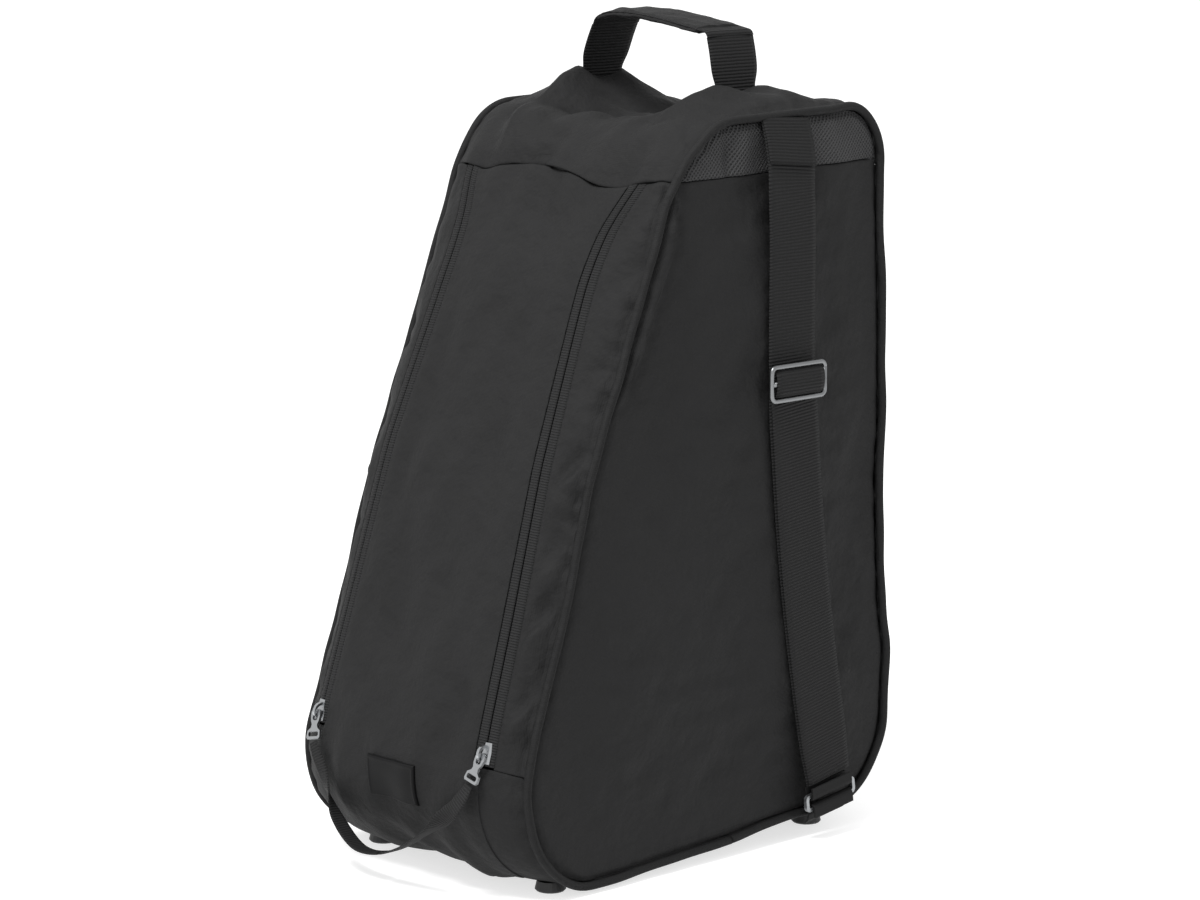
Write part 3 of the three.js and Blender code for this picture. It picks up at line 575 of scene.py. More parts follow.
def rounded_outline():
    """Samples (length, y, z), the lengths where each corner's arc starts and ends, and the whole length."""
    corners = [Vector(c[:2]) for c in OUTLINE_CORNERS]
    start = Vector(OUTLINE_START)
    samples = [(0.0, *start)]
    marks = []
    length = 0.0
    here = start
    for i, (corner, (_, _, radius)) in enumerate(zip(corners, OUTLINE_CORNERS)):
        before = corners[i - 1] if i else start
        after = corners[i + 1] if i + 1 < len(corners) else start
        into = (corner - before).normalized()
        out = (after - corner).normalized()
        turn = into.angle(out)
        arc_start = corner - into * radius * math.tan(turn / 2)
        centre = arc_start + Vector((into.y, -into.x)) * radius
        run = (arc_start - here).length
        samples += straight_samples(length, here, arc_start, max(2, int(run / 3)))
        length += run
        marks.append(length)
        angle = math.atan2(arc_start.y - centre.y, arc_start.x - centre.x)
        for turned in np.linspace(0, turn, 25)[1:]:
            a = angle - turned
            spoke = (centre.x + radius * math.cos(a), centre.y + radius * math.sin(a))
            samples.append((length + radius * turned, *spoke))
        length += radius * turn
        marks.append(length)
        here = Vector(samples[-1][1:])
    samples += straight_samples(length, here, start, 30)
    return np.array(samples), marks, samples[-1][0]


OUTLINE, MARKS, OUTLINE_LENGTH = rounded_outline()
BOTTOM_FRONT, FRONT_LOW, FRONT_HIGH, TOP_FRONT, TOP_BACK, BACK_HIGH, BACK_LOW, BOTTOM_BACK = MARKS


def outline_normals(samples):
    _, dy, dz = np.gradient(samples, axis=0).T
    along = unit(np.stack([dy, dz], axis=1))
    return np.stack([-along[:, 1], along[:, 0]], axis=1)


OUTLINE_NORMALS = outline_normals(OUTLINE)


def on_outline(s):
    """y, z and the outward normal of the CAD outline at a running length."""
    y, z = (np.interp(s, OUTLINE[:, 0], OUTLINE[:, k]) for k in (1, 2))
    ny, nz = (np.interp(s, OUTLINE[:, 0], OUTLINE_NORMALS[:, k]) for k in (0, 1))
    return y, z, ny, nz


def length_at(height, low, high):
    """Running length of the outline at a height between two marks."""
    s = np.linspace(low, high, 400)
    z = on_outline(s)[1]
    order = np.argsort(z)
    return float(np.interp(height, z[order], s[order]))


SEAM = length_at(SEAM_Z, BOTTOM_FRONT, FRONT_HIGH)
YOKE = length_at(YOKE_Z, FRONT_LOW, FRONT_HIGH)
BACK_SEAM = length_at(BACK_SEAM_Z, BACK_HIGH, BACK_LOW)
APRON = length_at(APRON_Z, BOTTOM_FRONT, FRONT_LOW)


def front_length(height):
    return length_at(height, BOTTOM_FRONT, FRONT_HIGH)


def on_front(*pairs):
    """Stations from pairs of a height on the front and a value."""
    return [(front_length(height), value) for height, value in pairs]


def on_back(*pairs):
    return [(length_at(height, BACK_HIGH, BACK_LOW), value) for height, value in pairs]


# ---- the puffed shell ----


def smoothed(stations, reach=14.0):
    """A smooth function through (length, value) stations."""
    s = np.linspace(0, OUTLINE_LENGTH, 1400)
    lengths, values = zip(*stations)
    rough = np.interp(s, lengths, values)
    width = max(1, int(reach / (s[1] - s[0])))
    kernel = np.hanning(2 * width + 1)
    padded = np.pad(rough, width, mode="edge")
    fine = np.convolve(padded, kernel / kernel.sum(), mode="valid")
    return lambda at: np.interp(at, s, fine)


# How far the piping stands out of the CAD outline where the stuffed bag pulls it.
BOTTOM_BOW = [(0, -1.8), (60, 0.8), (BOTTOM_FRONT - 20, 3.0), (BOTTOM_FRONT + 4, 3.4)]
BOTTOM_BOW += [(BOTTOM_FRONT + 34, -0.8)]
BACK_BOW = [(TOP_BACK - 6, 1.0), (TOP_BACK + 12, 3.0), (BACK_HIGH, -2.4)]
BACK_BOW += on_back((375, -2.2), (315, -0.5), (236, -0.8), (214, -3.4), (170, -2.6))
BACK_BOW += on_back((126, -1.0), (106, 3.4), (90, 2.0))
BACK_BOW += [(BACK_LOW, 0.0), (BACK_LOW + 24, -3.6), (BOTTOM_BACK - 6, -6.2)]
BACK_BOW += [(BOTTOM_BACK + 28, -7.2), (BOTTOM_BACK + 55, -5.0), (OUTLINE_LENGTH, -1.8)]

right_front_bow = on_front((52, -2.6), (75, 0.6), (98, 4.4), (150, 4.4), (190, 7.6), (225, 12.0))
right_front_bow += on_front((265, 11.4), (335, 8.8), (385, 8.2), (405, 3.0))
right_front_bow += [(FRONT_HIGH + 14, -2.5), (TOP_FRONT, -0.8)]
right_bow = smoothed(BOTTOM_BOW + right_front_bow + BACK_BOW)

left_front_bow = on_front((52, -1.0), (98, 0.2), (150, 0.4), (190, 2.8), (221, 4.0), (265, 2.5))
left_front_bow += on_front((300, 0.8), (396, -1.0))
left_front_bow += [(FRONT_HIGH + 10, -4.0), (TOP_FRONT, -1.0)]
left_bow = smoothed(BOTTOM_BOW + left_front_bow + BACK_BOW)


def piping_bow(s, x):
    """The bow of the left piping changes smoothly into that of the right piping across the bag."""
    share = smoothstep(-HALF_WIDTH, HALF_WIDTH, np.asarray(x, float))
    return left_bow(s) * (1 - share) + right_bow(s) * share


# How far the middle of the shell stands out of the CAD outline.
fullness = smoothed(
    [(0, 1.0), (BOTTOM_FRONT, 3.0), (FRONT_LOW - 22, 15.0), (FRONT_LOW + 10, 19.0)]
    + on_front((235, 25.0), (330, 20.0), (390, 13.0))
    + [(YOKE + 22, 6.0), (TOP_FRONT, 2.5), (TOP_BACK, 4.0), (BACK_SEAM, 8.0)]
    + [((BACK_SEAM + BACK_LOW) / 2, 13.0), (BACK_LOW, 12.0), (BOTTOM_BACK, 3.0), (OUTLINE_LENGTH, 1.0)]
)

# The zips lie this far from the middle; near the yoke they turn outwards.
zip_x = smoothed(
    [(0, 71.0)]
    + on_front((84, 70.5), (160, 68.0), (235, 65.0), (310, 60.0), (340, 58.5), (365, 60.5), (388, 67.0))
    + [(YOKE + 30, 78.0), (OUTLINE_LENGTH, 78.0)],
    22.0,
)


def yoke_dip(x, s):
    """The yoke seam rises in the middle and dips where each zip runs into it."""
    wave = 2.8 * bell(x + 12, 30) - 3.2 * bell(x + 58, 13) - 6.5 * bell(x - 46, 24)
    wave = wave - 3.3 * (1 - 0.5 * smoothstep(70, 94, x))
    return wave * bell(s - YOKE, 26)


def smooth_max(a, b, blend):
    """The larger of two heights, with a rounded change-over."""
    h = np.clip(0.5 + (a - b) / (2 * blend), 0, 1)
    return b + (a - b) * h + blend * h * (1 - h)


def top_relief(x, s):
    """The top is drawn up into a peak at each handle leg and sinks between them."""
    y = on_outline(s)[0]
    inside = smoothstep(YOKE - 8, YOKE + 40, s) * (1 - smoothstep(BACK_SEAM - 40, BACK_SEAM, s))
    past_leg = np.maximum(np.abs(y - HANDLE_Y) - HANDLE_WIDTH / 2, 0)
    beside = np.abs(x) - HANDLE_HALF_SPAN
    beside = np.where(beside > 0, np.where(x > 0, 0.12, 0.5) * beside, -beside)
    high = np.where(x > 0, 8.0, 14.0)
    steep = np.where(x > 0, 0.5, 0.72)
    peak = high - steep * np.hypot(beside, 0.75 * past_leg)
    centre = np.clip(1 - np.abs((x + 4) / 78) ** 3, 0, 1)
    hollow = -13.0 * centre * smoothstep(-12, 34, y) * (1 - smoothstep(110, 160, y))
    ridge_x = np.interp(y, [-34, HANDLE_Y - 14], [48, HANDLE_HALF_SPAN - 4])
    ridges = np.where(x > 0, 2.5, 7.5) * np.exp(-np.abs(np.abs(x) - ridge_x) / 7)
    ridges = ridges * smoothstep(-44, 0, y) * (1 - smoothstep(36, 60, y))
    pleats = crease(x, y, (-47, 20), (4, 74), 9, 3.0) + crease(x, y, (-30, 8), (40, 30), 12, -1.6)
    peak = np.where(x > 0, peak + 1.5 * smoothstep(20, 60, x), peak)
    fill = 3.8 * smoothstep(40, 78, x) * bell(y - 96, 46)
    edge = 1 - np.abs(x / HALF_WIDTH) ** 10
    return (smooth_max(peak, hollow, 4.5) + ridges + pleats + fill) * edge * inside


def strip_folds(x, s):
    """Slack folds that run down from the piping towards each zip, and fade before they reach either."""
    total = np.zeros(np.broadcast(x, s).shape)
    start_x = PANEL_HALF_WIDTH
    places = [(352, 22, 1.2), (300, 24, 1.6), (250, 26, 2.6), (206, 22, 1.6), (172, 28, 2.9)]
    for height, reach, deep in places + [(122, 24, 2.4)]:
        top = front_length(height)
        low_x, low_s = start_x - reach * 0.75, top - reach
        for sign, strength in ((-1, 0.2), (1, 1.8)):
            depth = strength * deep
            total += crease(sign * x, s, (start_x, top + 4), (low_x, low_s), 6, -depth)
            total += crease(sign * x, s, (start_x, top - 15), (low_x, low_s - 18), 7, 0.8 * depth)
    clear_of_zip = smoothstep(1.0, 9.0, np.abs(x) - zip_x(s) - ZIP_CHANNEL)
    clear_of_piping = smoothstep(0.0, 7.0, HALF_WIDTH - PIPING_RADIUS - np.abs(x))
    return total * clear_of_zip * clear_of_piping


def flap_folds(x, s):
    """Long soft undulations, a broad hollow down the middle, a crease down the left and a hollow beside the
    lower right corner.
    """
    broad = 1.5 * ripple(x, s * 0.45, 70, 3) + 0.95 * ripple(x, s * 0.6, 28, 4)
    low = 0.9 * ripple(x + 0.6 * s, 0.5 * s, 34, 5) * (1 - smoothstep(SEAM + 60, SEAM + 120, s))
    middle_only = smoothstep(3.0, 20.0, zip_x(s) - ZIP_CHANNEL - np.abs(x))
    tongue = crease(x, s, (-30, front_length(215)), (-12, front_length(118)), 20, -2.8)
    side = crease(x, s, (-52, front_length(300)), (-50, front_length(150)), 7, -1.8)
    corner = crease(x, s, (52, front_length(130)), (30, front_length(58)), 13, -2.2)
    return (broad + low + tongue + side + corner) * middle_only


def zip_puckers(x, s):
    """Small gathers of cloth along both sides of each zip."""
    away = np.abs(np.abs(x) - zip_x(s)) - ZIP_CHANNEL
    beat = np.sin(2 * math.pi * s / 4.6 + 1.8 * ripple(x * 0.2, s, 40, 6))
    uneven = 0.6 + 0.4 * ripple(0 * x, s, 60, 7)
    on_front = smoothstep(SEAM - 5, SEAM + 5, s) * (1 - smoothstep(YOKE - 12, YOKE, s))
    return 0.34 * beat * uneven * bell(np.maximum(away - 4.0, 0), 3.5) * (away > 0) * on_front


def piping_puckers(x, s):
    """A gutter along the piping, and the small gathers of the cloth sewn to it."""
    away = HALF_WIDTH - PIPING_RADIUS - np.abs(x)
    beat = ripple(0 * x, s, 13, 8)
    gutter = 1.8 * bell(away - 1.6, 1.5)
    return 0.75 * beat * bell(np.maximum(away - 2, 0), 7) - gutter


def shell(x, s, offset=0.0):
    """A point of the sewn shell: x across, s along the outline, offset outwards."""
    y, z, ny, nz = on_outline(s + yoke_dip(x, s))
    bow = piping_bow(s, x)
    on_front = 1 - smoothstep(YOKE + 10, TOP_FRONT, s)
    power = 4 + 2 * on_front
    rounding = 1 - np.abs(x / HALF_WIDTH) ** power
    out = bow + (fullness(s) - bow) * rounding + top_relief(x, s) + offset
    return np.stack(np.broadcast_arrays(x, y + ny * out, z + nz * out), axis=-1)


OUTWARD_FRONT = np.array([0.0, -0.94, 0.34])


def panel_grid(rows, left, right, step):
    """Sample places x, s of a panel, closer together beside its four edges."""
    margins = np.array(EDGE_MARGINS)
    count = len(margins)
    s = graded(*rows, step)
    widest = max(float(right(v) - left(v)) for v in s)
    share = graded(0, widest, step) / widest
    lines = []
    for v in s:
        low, high = float(left(v)), float(right(v))
        line = np.interp(share, [share[count - 1], share[-count]], [low + margins[-1], high - margins[-1]])
        line[:count] = low + margins
        line[-count:] = high - margins[::-1]
        lines.append(line)
    x = np.array(lines)
    return x, np.broadcast_to(s[:, None], x.shape)


def shell_panel(name, rows, left, right, folds, outward, node, offset=0.0, rolled=None, step=2.6, **where):
    """A panel between two edges given over the running length.

    rolled maps its left, right, bottom and top edges to their depths where they differ.
    """
    x, s = panel_grid(rows, left, right, step)
    distances = {"l": x - x[:, :1], "r": x[:, -1:] - x, "b": s - s[0, 0], "t": s[-1, 0] - s}
    depths = {**dict.fromkeys("lrbt", EDGE_DEPTH), **(rolled or {})}
    free_edge = np.where(s < SEAM, 0.3, 1.0)
    sink = np.zeros(x.shape)
    for edge, depth in depths.items():
        kept = free_edge if edge in "lr" and depth < 1.0 else 1.0
        sink = np.maximum(sink, kept * edge_roll(distances[edge], depth=depth))
    outer = shell(x, s, offset + folds(x, s) - sink)
    return sheet(name, outer, CLOTH, outward, (x, s), "nylon", replaces=(node,), **where)


def panel_edge(s):
    """The edge of the panels that reach the piping, at every running length."""
    return PANEL_HALF_WIDTH + 0 * s


def minus(edge):
    return lambda s: -edge(s)


def top_folds(x, s):
    soft = 1.7 * ripple(x, s, 45, 11) + 0.75 * ripple(x, s, 19, 14)
    return soft * (1 - smoothstep(70, 92, np.abs(x))) + piping_puckers(x, s)


def back_folds(x, s):
    soft = 1.6 * ripple(x, s * 0.7, 80, 12)
    return soft * (1 - smoothstep(60, 92, np.abs(x))) + piping_puckers(x, s)


def lower_front_folds(x, s):
    """Under the flap the lower front follows the flap's own folds."""
    outside = smoothstep(0, 12, np.abs(x) - zip_x(s))
    return flap_folds(x, s) + 0.5 * ripple(x, s, 50, 13) * outside + piping_puckers(x, s)


def add_shell_panels():
    half = SEAM_GAP / 2
    full_width = (minus(panel_edge), panel_edge)
    shell_panel(
        "top_cloth", (YOKE + half, BACK_SEAM - half), *full_width, top_folds,
        np.array([0, 0, 1.0]), "top_panel", rolled={"b": 1.3, "t": 1.5}, body="shell",
    )
    shell_panel(
        "back_cloth", (BACK_SEAM + half, BOTTOM_BACK + BOTTOM_SEAM_IN - half), *full_width, back_folds,
        np.array([0, 1.0, 0]), "back_panel", step=3.4, body="shell",
    )
    shell_panel(
        "lower_front_cloth", (BOTTOM_FRONT - BOTTOM_SEAM_IN + half, SEAM - half), *full_width,
        lower_front_folds, OUTWARD_FRONT, "lower_front_panel", offset=-0.5,
        rolled={"b": 1.2, "t": 0.3}, body="shell",
    )
    add_seam_backing("yoke_seam_backing", YOKE + 3.0)
    add_seam_backing("back_seam_backing", BACK_SEAM)
    for side, sign in SIDES:
        add_front_strip(side, sign)


def add_front_strip(side, sign):
    """The strip of cloth between a zip and the piping."""

    def near(s):
        return zip_x(s) + ZIP_CHANNEL

    def folds(x, s):
        slack = 0.9 * ripple(x, s * 0.7, 24, 20 + sign) * smoothstep(0, 9, np.abs(x) - near(s))
        return strip_folds(x, s) + zip_puckers(x, s) + piping_puckers(x, s) + slack

    edges = (near, panel_edge) if sign > 0 else (minus(panel_edge), minus(near))
    zip_edge = "l" if sign > 0 else "r"
    shell_panel(
        f"front_strip_cloth_{side}", (SEAM + SEAM_GAP / 2, YOKE - SEAM_GAP / 2), *edges, folds,
        OUTWARD_FRONT, f"front_strip_{side}", rolled={zip_edge: 0.6, "b": 0.4, "t": 1.3},
        step=1.8, body="shell",
    )


def add_seam_backing(name, s):
    """The turned-in edges of cloth behind a seam across the shell."""
    x = np.linspace(-HALF_WIDTH + 2, HALF_WIDTH - 2, 60)
    rows = s + np.array([-4.0, 0.0, 4.0])
    grid_x, grid_s = np.meshgrid(x, rows)
    outer = shell(grid_x, grid_s, -3.0)
    bag_middle = np.array([0.0, 60.0, 200.0])
    sheet(name, outer, BACKING, outer[1, 30] - bag_middle, (grid_x, grid_s), "nylon", body="shell")


def add_bottom():
    """The underside runs on past the start of the outline, so it is built from its own rows."""
    half = SEAM_GAP / 2
    back_end = BOTTOM_BACK + BOTTOM_SEAM_IN + half - OUTLINE_LENGTH
    s = graded(back_end, BOTTOM_FRONT - BOTTOM_SEAM_IN - half, 6.0)
    x = graded(-PANEL_HALF_WIDTH, PANEL_HALF_WIDTH, 6.0)
    grid_x, grid_s = np.meshgrid(x, s)
    wrapped = np.where(grid_s < 0, grid_s + OUTLINE_LENGTH, grid_s)
    to_seams = np.minimum(grid_s - s[0], s[-1] - grid_s)
    edge = np.minimum(HALF_WIDTH - PIPING_INSET - np.abs(grid_x), to_seams)
    outer = shell(grid_x, wrapped, -edge_roll(edge))
    sheet(
        "bottom_cloth", outer, CLOTH, np.array([0, 0, -1.0]), (grid_x, grid_s), "side_nylon_painted_shade",
        body="shell", replaces=("bottom_panel",),
    )


def add_flap():
    """The flap hangs from the top panel at the yoke seam."""

    def edge(s):
        closed = zip_x(s) - ZIP_CHANNEL
        return closed + (ZIP_CHANNEL - 1.5) * (1 - smoothstep(SEAM - 7, SEAM - 1, s))

    def folds(x, s):
        return flap_folds(x, s) + zip_puckers(x, s)

    flap = shell_panel(
        "flap_cloth", (APRON, YOKE - SEAM_GAP / 2), minus(edge), edge, folds, OUTWARD_FRONT,
        "front_flap", offset=0.25, rolled={"l": 0.45, "r": 0.45, "b": 0.5, "t": 1.2}, step=2.2,
    )
    hinge = shell(np.array(0.0), np.array(YOKE))
    fold_end = shell(np.array(0.0), np.array(YOKE - FLAP_FOLD))
    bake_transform(flap)


# ---- the sides ----


def piping_line(sign, inset=0.0):
    """The visible outline (y, z) of one side once the front bows forward, moved in by an inset."""
    s = OUTLINE[:, 0]
    y, z, ny, nz = on_outline(s)
    out = piping_bow(s, sign * HALF_WIDTH) - inset
    return np.stack([y + ny * out, z + nz * out], axis=1)


def distance_to_line(y, z, line):
    a, b = line[:-1], line[1:]
    best = np.full(y.shape, 1e9)
    for (ay, az), (by, bz) in zip(a, b):
        dy, dz = by - ay, bz - az
        size = dy * dy + dz * dz
        if size < 1e-9:
            continue
        t = np.clip(((y - ay) * dy + (z - az) * dz) / size, 0, 1)
        best = np.minimum(best, np.hypot(y - ay - t * dy, z - az - t * dz))
    return best


SIDE_CREASES = (
    ((-60, 30), (-20, 120), 26, -2.4),
    ((100, 60), (128, 240), 16, -2.2),
    ((132, 90), (104, 130), 7, -1.8),
    ((134, 150), (112, 182), 7, 1.6),
)
MESH_CREASES = (
    ((14, 396), (15, 430), 3.5, -2.4),
    ((26, 396), (30, 428), 6, 1.6),
    ((100, 398), (96, 428), 9, 2.2),
)


def creases(y, z, places):
    return sum(crease(y, z, *place) for place in places)


def side_relief(y, z, away, sign):
    """How far a side stands out of the piping's plane."""
    puff = 8.2 * smoothstep(0, 95, away)
    ridge_z = [250, 269, 288, 307, 334, 361, 376, 392]
    ridge_y = [-87, -75.3, -64.5, -54.4, -42.8, -31.1, -28.5, -28.0]
    past_ridge = y - np.interp(z, ridge_z, ridge_y)
    rising = np.clip(1 + past_ridge / 13.0, 0, 1) * (1 - smoothstep(-0.5, 3.0, past_ridge))
    band = 4.2 * rising - 1.0 * bell(past_ridge - 4.5, 4.0)
    band = band * smoothstep(256, 290, z) * smoothstep(0, 4, away)
    wide = 1.4 * ripple(y, z * 0.7, 110, 31 + sign) + 0.7 * ripple(y, z, 42, 33 + sign)
    small = 0.5 * ripple(y, z, 20, 37 + sign)
    slack = (wide + small) * smoothstep(4, 45, away)
    beat = 0.7 * ripple(away * 0.1, y + z, 12, 35 + sign) * bell(np.maximum(away - 2, 0), 7)
    beat = beat * (0.25 + 0.75 * smoothstep(30, 70, z)) * (1 - 0.75 * smoothstep(40, 90, y))
    return puff + band + slack + beat + creases(y, z, SIDE_CREASES)


def kept_under_strap(relief, y, z):
    """The cloth beneath the strap never stands further out than the strap's back."""
    middle = STRAP_Y + math.tan(LOWER_LEAN) * np.maximum(STRAP_TURN_Z - z, 0)
    beside = np.abs(y - middle) - STRAP_WIDTH / 2
    room = STRAP_X - HALF_WIDTH - STRAP_CLEARANCE + 6.0 * smoothstep(2, 24, beside)
    return -smooth_max(-relief, -room, 0.5)


def climbing(edge):
    """An edge whose heights never fall, so that a height gives one place on it."""
    heights = np.maximum.accumulate(edge[:, 1]) + np.arange(len(edge)) * 1e-6
    return np.column_stack([edge[:, 0], heights])


def mesh_seam_height(y):
    """The seam under the mesh rises a little towards the back."""
    return MESH_Z + 3.0 * smoothstep(-20, 140, y)


class Side:
    """One side of the bag, inside its piping."""

    def __init__(self, side, sign):
        self.side, self.sign = side, sign
        self.facing = np.array([float(sign), 0, 0])
        self.line = piping_line(sign, PIPING_INSET)
        self.closed_line = piping_line(sign)
        lowest, highest = int(np.argmin(self.line[:, 1])), int(np.argmax(self.line[:, 1]))
        self.front = climbing(self.line[lowest : highest + 1])
        back = np.vstack([self.line[highest:], self.line[: lowest + 1]])
        self.back = climbing(back[::-1])

    def across(self, z, shares):
        """y from the front edge to the back edge at each height."""
        y_front = np.interp(z, self.front[:, 1], self.front[:, 0])
        y_back = np.interp(z, self.back[:, 1], self.back[:, 0])
        return y_front[:, None] + (y_back - y_front)[:, None] * shares[None, :]

    def away(self, y, z):
        return distance_to_line(y, z, self.closed_line) - PIPING_INSET

    def sheet(self, name, x, y, z, thickness, material, **where):
        name = f"{name}_{self.side}"
        outer = np.stack([self.sign * x, y, z], axis=-1)
        sheet(name, outer, thickness, self.facing, (y, z), material, body="shell", **where)

    def add_face(self, name, z_low, z_high, step, material, node):
        close_rows = (0.0, 0.1, 0.3, 0.7, 1.3, 2.1, 3.1, 4.3, 5.7, 7.3, 9.1)
        shares = (graded(z_low, z_high, step, close_rows) - z_low) / (z_high - z_low)
        nominal = z_low + (z_high - z_low) * shares
        y = self.across(nominal, graded(0.0, 240.0, step) / 240.0)
        z = np.broadcast_to(nominal[:, None], y.shape)
        pull = shares[:, None] if z_high < MESH_Z else (1 - shares[:, None])
        from_piping = smoothstep(0, 12, distance_to_line(y, z, self.closed_line))
        z = z + (mesh_seam_height(y) - MESH_Z) * pull * from_piping
        away = self.away(y, z)
        from_seam = np.abs(z - mesh_seam_height(y)) - SEAM_GAP / 2
        sink = np.maximum(edge_roll(away), edge_roll(from_seam, 1.8, 1.2))
        gutter = 1.6 * bell(away - 1.3, 1.7)
        relief = side_relief(y, z, away, self.sign) - gutter
        if self.sign > 0:
            relief = kept_under_strap(relief, y, z)
        if material == "mesh":
            relief = relief + creases(y, z, MESH_CREASES)
        x = HALF_WIDTH + 0.4 + relief - sink
        self.sheet(name, x, y, z, CLOTH, material, replaces=(f"{node}_{self.side}",))

    def add_seam_backing(self):
        """The turned-in edges of cloth behind the mesh seam."""
        rows = MESH_Z + np.array([-5.0, 0.0, 5.0, 9.0])
        y = self.across(rows, np.linspace(0.0, 1.0, 90))
        z = np.broadcast_to(rows[:, None], y.shape)
        x = HALF_WIDTH - 2.4 + side_relief(y, z, self.away(y, z), self.sign)
        self.sheet("side_seam_backing", x, y, z, BACKING, "side_nylon_painted_shade")


def add_side(side, sign):
    half = SEAM_GAP / 2
    panel = Side(side, sign)
    panel.add_seam_backing()
    bottom, top = panel.line[:, 1].min() + 0.02, panel.line[:, 1].max() - 0.02
    panel.add_face("side_cloth", bottom, MESH_Z - half, 2.8, "side_nylon_painted_shade", "side_panel")
    panel.add_face("side_mesh_cloth", MESH_Z + half, top, 2.0, "mesh", "side_mesh")


def add_piping(side, sign):
    line = piping_line(sign)
    keep = np.concatenate([[True], np.linalg.norm(np.diff(line, axis=0), axis=1) > 0.3])
    path = np.column_stack([np.full(keep.sum(), sign * HALF_WIDTH), line[keep]])
    wobble = 0.35 * ripple(0 * path[:, 1], run_lengths(path), 40, 41 + sign)
    path[:, 0] += wobble
    sweep(
        f"piping_cloth_{side}", path, (1.0, 0, 0), round_section(PIPING_RADIUS, 12), "piping",
        body="shell", replaces=(f"piping_{side}",),
    )


# ---- zips ----


def add_zip(side, sign):
    """Each half is one strip: the teeth's ridge in the middle and the stitched edge of its tape."""
    rows = np.arange(SEAM + 1.0, YOKE + 2.0, 2.0)
    across = np.array([0.25, 0.5, 0.9, 1.5, 2.3, 3.2, 4.1, 4.9, 5.5, 6.0, 6.6, 7.6])
    height = np.array([-0.3, 0.1, 0.45, 0.65, 0.75, 0.55, 0.65, 0.6, 0.45, 0.1, -0.4, -0.9])
    for part, direction, body in (("outer", 1, "shell"), ("inner", -1, "flap")):
        x = sign * (zip_x(rows)[:, None] + direction * across[None, :])
        s = np.broadcast_to(rows[:, None], x.shape)
        outer = shell(x, s, height[None, :] - 0.5)
        piece = sheet(
            f"zip_half_{part}_{side}", outer, 0.9, OUTWARD_FRONT, (x, s), "zip_tape",
            body=body, replaces=(f"zip_tape_{part}_{side}", f"zip_coil_{part}_{side}"),
        )


# ---- the label, pull tape and hardware ----


def add_label():
    """A blank moulded patch with a raised rim."""
    thickness = 1.4
    margins = (0.0, 0.3, 0.8, 1.5, 2.0, 2.6)
    u, v = (graded(-half, half, 2.0, margins) for half in (LABEL_HALF_WIDTH, LABEL_HALF_HEIGHT))
    x, ds = np.meshgrid(u, v)
    from_rim = np.minimum(LABEL_HALF_WIDTH - np.abs(x), LABEL_HALF_HEIGHT - np.abs(ds))
    height = thickness * (1 - edge_roll(from_rim, 0.8, 1.0)) + 0.5 * bell(from_rim - 1.1, 0.55)
    s = length_at(LABEL_Z, BOTTOM_FRONT, FRONT_LOW) + ds
    outer = shell(x, s, 0.4 + height) + flap_shift(x, s)
    nodes = ("label_patch",)
    sheet("label", outer, thickness, OUTWARD_FRONT, (x, ds), "label", body="flap", replaces=nodes)


def flap_shift(x, s):
    """Keeps a piece sewn to the flap at the height of its folds."""
    normal = grid_normals(shell(x, s))
    facing = np.sign((normal * OUTWARD_FRONT).sum(-1, keepdims=True))
    return normal * facing * flap_folds(x, s)[..., None]


TAPE_FALL = [(67.3, -160.4, 70.4), (65.4, -162.4, 65.4), (60.0, -165.4, 56.5), (52.7, -166.2, 50.0)]
TAPE_FALL += [(43.8, -166.4, 42.5), (31.0, -165.2, 34.4), (16.0, -163.8, 25.7), (1.0, -162.5, 19.3)]
TAPE_RISE = [(-13.0, -161.5, 15.9), (-24.0, -160.8, 15.6), (-32.0, -160.2, 17.9)]
TAPE_RISE += [(-39.0, -159.9, 22.3), (-45.5, -159.6, 28.0), (-50.5, -159.4, 34.0)]
TAPE_RISE += [(-54.8, -159.6, 43.0), (-59.8, -160.3, 56.0), (-64.4, -160.9, 65.4), (-67.3, -160.4, 70.4)]


def add_pull_tape():
    """The tape hangs from pull to pull, and turns a quarter on its way down and up."""
    path = spline(TAPE_FALL + TAPE_RISE, 2.5)
    share = np.linspace(0, 1, len(path))
    from_end = np.minimum(share, 1 - share)
    turned = smoothstep(0.06, 0.3, from_end)[:, None]
    lying = np.where(share[:, None] < 0.5, 1.0, -1.0) * np.array([0.0, 1.0, 0.0])
    across = (1 - turned) * np.array([1.0, 0, 0]) + turned * lying
    width = TAPE_WIDTH - TAPE_NARROWING * bell(from_end, 0.035)
    sections = np.array([strap_section(w, 1.2, 0.0, 8) for w in width])
    tape = sweep(
        "pull_tape_webbing", path, across, sections, "narrow_webbing", replaces=("pull_tape",),
    )
    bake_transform(tape)


# ---- straps ----


def on_lower_run(height, out=0.0):
    """A point of the lower run, which bows a little towards the front."""
    t = (STRAP_TURN_Z - height) / (STRAP_TURN_Z - STRAP_FOOT_Z)
    bow = STRAP_BOW * math.sin(math.pi * min(max(t, 0.0), 1.0))
    return (STRAP_X + out - 0.3 * bow, STRAP_Y + t * (STRAP_FOOT_Y - STRAP_Y) - bow, height)


def narrowed_at_foot(path, low):
    return np.interp(path[:, 2], [low, 60], [STRAP_FOOT_WIDTH, STRAP_WIDTH])


